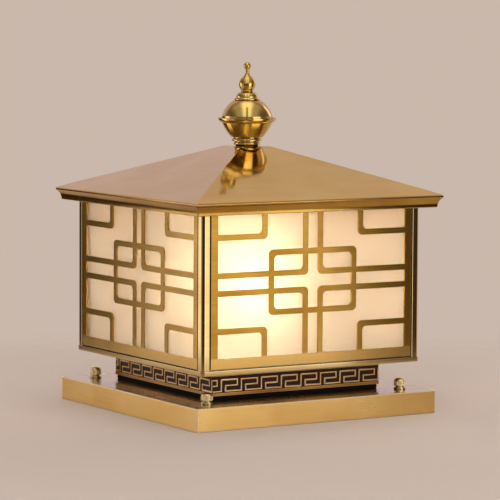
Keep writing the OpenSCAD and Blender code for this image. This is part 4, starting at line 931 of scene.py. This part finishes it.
# Finial: turned and spun pieces stacked on the rod
BORE, SPUN = 4.08, 1.4
collar_z, bowl_z, rim_z, dome_z, bead_z, tip_z, drop_z = 278.7, 286.9, 302.0, 303.4, 325.2, 334.4, 336.7
DROP_R, DROP_MIDDLE = 8.8, 343.0
drop_foot = math.degrees(math.acos(6.7 / DROP_R))
finial_lines = {
    "finial_collar": [(BORE, collar_z), (13.6, collar_z)] + bulge((13.7, 279.0), (13.7, 281.57), 0.5)
    + [(12.9, 281.57), (12.9, 282.55)] + bulge((15.4, 282.55), (15.4, 285.42), 0.7)
    + [(14.2, 285.42), (14.2, bowl_z), (BORE, bowl_z)],
    "finial_bowl": [(BORE, bowl_z)] + bulge((17.0, bowl_z), (26.8, rim_z), 0.8, 20)
    + bulge((15.6, bowl_z + SPUN), (25.4, rim_z), 0.8, 20)[::-1] + [(BORE, bowl_z + SPUN)],
    "finial_rim": [(22.9, rim_z), (26.9, rim_z)] + bulge((27.4, rim_z + 0.2), (31, rim_z + 4), 0.7)
    + [(31, rim_z + 5), (30.2, rim_z + 5)] + bulge((27.4, dome_z), (30.2, rim_z + 4), 0.5)[::-1]
    + [(22.9, dome_z)],
    "finial_dome": [(25.6, dome_z), (27, dome_z)] + bulge((26.9, dome_z + 5.45), (15.3, bead_z), 1.9, 24)
    + [(BORE, bead_z), (BORE, bead_z - SPUN)]
    + bulge((25.6, dome_z + 5.45), (13.9, bead_z - SPUN), 1.7, 24)[::-1],
    "finial_bead": [(BORE, bead_z), (13.0, bead_z)] + bulge((13.1, bead_z + 0.2), (12.7, 328.4), 0.7)
    + bulge((11.6, 328.4), (7.1, tip_z), 1.6) + [(BORE, tip_z)],
    "finial_tip": [(BORE, tip_z), (6.2, tip_z)] + bulge((6.3, tip_z + 0.2), (6.3, drop_z - 0.1), 0.4)
    + oval(DROP_R, 6.3 / math.sin(math.radians(drop_foot)), DROP_MIDDLE, -drop_foot, 0, 12)
    + oval(DROP_R, 8.6, DROP_MIDDLE, 0, 50, 14)[1:] + hollow_curve((5.66, 349.59), (2.3, 352.36),
                                                                   (2.3, 354.6))[1:]
    + oval(4, 4, 362.07, -54.9, 90, 18) + [(0, 346), (BORE, 345.4)],
}
for node, line in finial_lines.items():
    piece = turned_piece("turned_" + node, closed(eased(line, 0.22, 3, least=26)), polished_brass, 128)
    finish_piece(piece, "polished_brass", node, body="finial", smooth=36)
paint("finial_washer", black_rubber)

# Lamp
GLOBE_R = 28
holder_low, holder_high = (v.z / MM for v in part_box("lampholder"))
socket_z = holder_low + 8.5
holder = turned_piece("porcelain_lampholder", closed(eased([
    (0.01, holder_low, 0), (21, holder_low, 0.4), (21, holder_low + 5, 1.2), (19.5, holder_low + 6.5, 0.8),
    (19.5, holder_high - 1.5, 1.0), (18, holder_high, 0.8), (14.1, holder_high, 0.5), (14.1, socket_z, 0.3),
    (0.01, socket_z, 0)], steps=5)), porcelain, 80)
finish_piece(holder, "ceramic", "lampholder")
cap_low, cap_high = (v.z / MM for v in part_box("bulb_cap"))
cap_line = [(0, cap_low), (4, cap_low), (5, cap_low + 1), (11, cap_low + 3), (12.6, cap_low + 4.2)]
cap_line += [(13.2, cap_low + 4.5 + (cap_high - cap_low - 7) * i / 60) for i in range(61)]
cap = turned_piece("rolled_screw_cap", closed(cap_line + [(13.2, cap_high), (0, cap_high)]), cap_aluminium,
                   64,
                   **thread(3.6, 1.1, cap_low + 4.4, cap_high - 2.4))
finish_piece(cap, "cap_aluminium", "bulb_cap", body="bulb")
globe_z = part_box("bulb_glass")[1].z / MM - GLOBE_R
join_x, join_z = oval(GLOBE_R, GLOBE_R, globe_z, -50, 90, 30)[0]
neck_curve = [(13.0 + (join_x - 13.0) * (i / 16) ** 1.7, cap_high + (join_z - cap_high) * i / 16)
              for i in range(17)]
globe = turned_piece("bulb_globe", closed(
    [(12.0, cap_high)] + neck_curve + oval(GLOBE_R, GLOBE_R, globe_z, -50, 90, 30)[1:]
    + oval(27, 27, globe_z, 90, -50, 24) + [(12.0, cap_high + 6)]), lit_glass, 72)
finish_piece(globe, "bulb_glass", "bulb_glass", body="bulb")


# Screws and rod
def pan_head_screw(length):
    """A pan-head screw with its head up from height 0, and a rolled thread below."""
    steps = int(length / 0.1)
    shank = [(1.5, -length + 0.3 + (length - 0.3) * i / steps) for i in range(steps)]
    line = [(0, -length), (1.1, -length)] + shank + [(1.5, 0), (2.7, 0)] + eased(
        [(2.7, 0), (2.7, 0.9, 0.5), (1.9, 1.6, 0.8), (0, 1.6)], closed=False, steps=4)[1:]
    return turned_piece("screw", line, zinc_steel, 24, **thread(0.5, 0.28, -length, -0.15))


CLIP_IN = (3.1 + 3 + 1 + 15) / 2  # from the wall's face to the middle of a clip's foot
clip_spots, clip_over = [], []
for quarters in range(4):
    for x in (-70, 70):
        for z, over in ((56.2, 0.0), (229.6, 1.0)):
            clip_spots += turned_about([(x, -BODY + CLIP_IN, z)], quarters)
            clip_over.append(over)
clip_screws = set_out("clip_screws_threaded", pan_head_screw(3.0), clip_spots, zinc_steel, clip_over)
finish_piece(clip_screws, "zinc_steel", "clip_screws")
bar_low, bar_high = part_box("crossbar_screws")
bar_spots = [(x * (bar_high.x / MM - 2.7), y * (bar_high.y / MM - 2.7), high_z) for x in (-1, 1)
             for y in (-1, 1)]
bar_screws = set_out("crossbar_screws_threaded", pan_head_screw(high_z - bar_low.z / MM), bar_spots,
                     zinc_steel)
finish_piece(bar_screws, "zinc_steel", "crossbar_screws")
screws_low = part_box("holder_screws")[0].z / MM
bracket_screws = set_out("holder_screws_threaded", pan_head_screw(57.9 - screws_low),
                         [(-38.5, 0, 57.9), (38.5, 0, 57.9)], zinc_steel)
socket_screws = set_out("socket_screws_threaded", pan_head_screw(socket_z - 57.6),
                        [(0, -10.2, socket_z), (0, 10.2, socket_z)], zinc_steel)
finish_piece(joined(bracket_screws, socket_screws), "zinc_steel", "holder_screws")

rod_low, rod_high = (v.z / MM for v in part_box("finial_rod"))
rod_steps = int((rod_high - rod_low) / 0.2)
rod_line = [(4, rod_low + 0.4 + (rod_high - rod_low - 0.8) * i / rod_steps) for i in range(rod_steps + 1)]
rod = turned_piece("threaded_rod", [(0, rod_low), (3.4, rod_low)] + rod_line + [(3.4, rod_high),
                                                                                (0, rod_high)],
                   zinc_steel, 32, **thread(1.25, 0.55, rod_low + 0.3, rod_high - 0.3))
finish_piece(rod, "zinc_steel", "finial_rod")

# CAD nodes that keep their shape
for material, nodes in (
        (etched_glass, ["pane_" + side_name for side_name in SIDES]),
        (zinc_steel, ["mounting_plate", "neck_bolts", "lantern_floor", "glazing_clips", "crossbar",
                      "rod_nuts",
                      "rest_frame", "apex_plate", "holder_bracket"]),
        (contact_brass, ["holder_contacts", "terminal_inserts", "earth_terminal"]),
        (black_rubber, ["roof_seal"]), (black_nylon, ["cable_gland"]), (block_plastic, ["terminal_block"]),
        (brown_insulation, ["lamp_leads"]), (green_insulation, ["earth_lead"])):
    for node in nodes:
        paint(node, material)


# Studio: pale floor, soft boxes beside the camera, and a surround with banks of light and a pale wall
TABLE_R = 0.80
CAMERA_WAY = CAMERA_TURN - 90
CAMERA_RIGHT, CAMERA_AHEAD = (0.853, -0.522, 0.0), (0.522, 0.853, 0.0)


def lay_floor():
    """A round table top of plain paper. Its rim fades into the surround, which has the same tone, so that the
    walls can mirror what stands beyond the table."""
    rim = [(TABLE_R * math.cos(math.tau * i / 64), TABLE_R * math.sin(math.tau * i / 64), 0)
           for i in range(64)]
    material, tree = blank_material("floor_paper")
    place = add(tree, "ShaderNodeTexCoord").outputs["Object"]
    fibre = add(tree, "ShaderNodeTexNoise", {"Vector": place, "Scale": 1 / 0.4, "Detail": 2.0})
    tone = add(tree, "ShaderNodeMix", {0: fibre, 6: linear("#E9DACE"), 7: linear("#EDDFD4")},
               data_type="RGBA")
    paper = add(tree, "ShaderNodeBsdfPrincipled", {"Base Color": tone.outputs[2], "Roughness": 0.9})
    away = add(tree, "ShaderNodeVectorMath", {0: place}, operation="LENGTH").outputs["Value"]
    fade = add(tree, "ShaderNodeMapRange", {"Value": away, "From Min": 0.45, "From Max": 0.76},
               interpolation_type="SMOOTHSTEP")
    clear = add(tree, "ShaderNodeBsdfTransparent")
    close_material(tree, add(tree, "ShaderNodeMixShader", {0: fade, 1: paper, 2: clear}))
    floor = mesh_piece("studio_floor", [(0, 0, 0)] + rim, (),
                       [[0, 1 + i, 1 + (i + 1) % 64] for i in range(64)],
                       material, unit=1)
    floor.location.z = -0.0002


def curtain_cloth():
    """Dark brown cloth, matt, with a slightly uneven nap."""
    material, tree = blank_material("studio_curtain_black")
    nap = add(tree, "ShaderNodeTexNoise", {"Scale": 8.0, "Detail": 3.0})
    tone = add(tree, "ShaderNodeMix", {0: nap, 6: linear("#44321F"), 7: linear("#4E3B28")}, data_type="RGBA")
    close_material(tree, add(tree, "ShaderNodeBsdfPrincipled", {
        "Base Color": tone.outputs[2], "Roughness": 0.95}))
    return material


def hang_curtain(name, start, end, reach=3.4, low=-1.2, high=0.45):
    """A dark cloth hung round the table between two turns in degrees from the camera, so that brass shows
    dark edges."""
    steps = 12
    ways = [math.radians(CAMERA_WAY + start + (end - start) * i / steps) for i in range(steps + 1)]
    cloth = mesh_piece(name, [(reach * math.cos(w), reach * math.sin(w), z) for z in (low, high)
                              for w in ways], (),
                       [[i, i + 1, steps + 2 + i, steps + 1 + i] for i in range(steps)], dark_cloth, unit=1)
    cloth.visible_camera = False


def hang_surround():
    """The studio beyond the lamps. Two long banks of light, each with a bright core and a dimmer flank, run
    up and over the lantern on either side of the camera, with a dark gap between them that closes overhead.
    The wall behind the lantern is pale, and a low band all round has the floor's tone, so that the floor
    seems to run on."""
    world = bpy.data.worlds.new("surround")
    scene.world = world
    world.use_nodes = True
    tree = world.node_tree
    tree.nodes.clear()
    way = add(tree, "ShaderNodeTexCoord").outputs["Generated"]
    known = {"height": add(tree, "ShaderNodeSeparateXYZ", {0: way}).outputs["Z"]}
    # How far a direction lies beside the upright plane through camera and lantern, and how far behind the lantern
    for name, side in (("across", CAMERA_RIGHT), ("back", CAMERA_AHEAD)):
        lean = add(tree, "ShaderNodeVectorMath", {0: way, 1: side}, operation="DOT_PRODUCT")
        known[name] = lean.outputs["Value"]
    known["aside"] = add(tree, "ShaderNodeMath", {0: known["across"]}, operation="ABSOLUTE")
    # Soft steps: what each follows, from where to where, and its level before and after
    for name, value, start, end, low, high in (
            ("open", "aside", 0.03, 0.11, 0.0, 1.0), ("overhead", "height", 0.92, 0.99, 0.0, 1.0),
            ("core", "aside", 0.44, 0.14, 0.0, 1.0), ("core level", "height", 0.50, 0.85, 0.90, 1.10),
            ("flank", "aside", 0.88, 0.58, 0.0, 1.0), ("in front", "back", 0.45, 0.15, 0.0, 1.0),
            ("above table", "height", 0.12, 0.24, 0.0, 1.0), ("wall", "back", 0.30, 0.72, 0.24, 1.0),
            ("wall level", "height", 0.60, 0.70, 1.0, 1.25), ("cool", "height", 0.52, 0.42, 0.0, 1.0),
            ("floor band", "height", 0.13, 0.03, 0.0, 1.0)):
        known[name] = add(tree, "ShaderNodeMapRange", {
            "Value": known[value], "From Min": start, "From Max": end, "To Min": low, "To Max": high},
            interpolation_type="SMOOTHSTEP")
    for name, operation, one, other in (
            ("gap", "MAXIMUM", "open", "overhead"), ("core", "MULTIPLY", "gap", "core"),
            ("core", "MULTIPLY", "core", "core level"), ("flank", "MULTIPLY", "gap", "flank"),
            ("flank", "MULTIPLY", "flank", 0.30), ("banks", "ADD", "core", "flank"),
            ("banks", "MULTIPLY", "banks", "in front"), ("banks", "MULTIPLY", "banks", "above table"),
            ("wall", "MULTIPLY", "wall", "wall level")):
        inputs = {0: known[one], 1: known.get(other, other)}
        known[name] = add(tree, "ShaderNodeMath", inputs, operation=operation)
    tone = add(tree, "ShaderNodeMix", {0: known["cool"], 6: linear("#CBB7A6"), 7: linear("#CAB8BE")},
               data_type="RGBA")
    behind = add(tree, "ShaderNodeVectorMath", {0: tone.outputs[2], "Scale": known["wall"]},
                 operation="SCALE")
    lit = add(tree, "ShaderNodeVectorMath", {0: behind, 1: known["banks"]}, operation="ADD")
    seen = add(tree, "ShaderNodeMix", {0: known["floor band"], 6: lit.outputs[0], 7: linear("#C9B8AB")},
               data_type="RGBA")
    light = add(tree, "ShaderNodeBackground", {"Color": seen.outputs[2], "Strength": 1.0})
    add(tree, "ShaderNodeOutputWorld", {"Surface": light})


def soft_box(name, turn, distance, low, high, width, level, colour="#FFFFFF"):
    """A rectangular soft box beside the camera: turned round the lantern by so many degrees from the camera,
    its lower and upper edge above the floor, and its level, which is how bright a mirror would show it."""
    way = math.radians(CAMERA_WAY + turn)
    middle = Vector((distance * math.cos(way), distance * math.sin(way), (low + high) / 2))
    data = bpy.data.lights.new(name, "AREA")
    data.shape, data.size, data.size_y = "RECTANGLE", width, high - low
    data.energy = level * math.pi * width * (high - low)
    data.color = linear(colour)[:3]
    lamp = linked(name, data)
    lamp.location = middle
    lamp.visible_camera = False
    lamp.rotation_mode = "QUATERNION"
    lamp.rotation_quaternion = (Vector((0, 0, 0.2)) - middle).to_track_quat("-Z", "Y")


dark_cloth = curtain_cloth()
lay_floor()
hang_surround()
for name, start, end in (("front", -50, 26), ("right", 50, 98), ("left", -150, -104)):
    hang_curtain("curtain_" + name, start, end)
soft_box("low_box_right", 46, 1.5, -0.35, 0.62, 0.95, 1.65)
soft_box("low_box_left", -101, 1.8, -0.35, 0.62, 0.9, 1.45)
soft_box("rim_box_right", 134, 2.2, 0.3, 1.7, 0.5, 1.2)
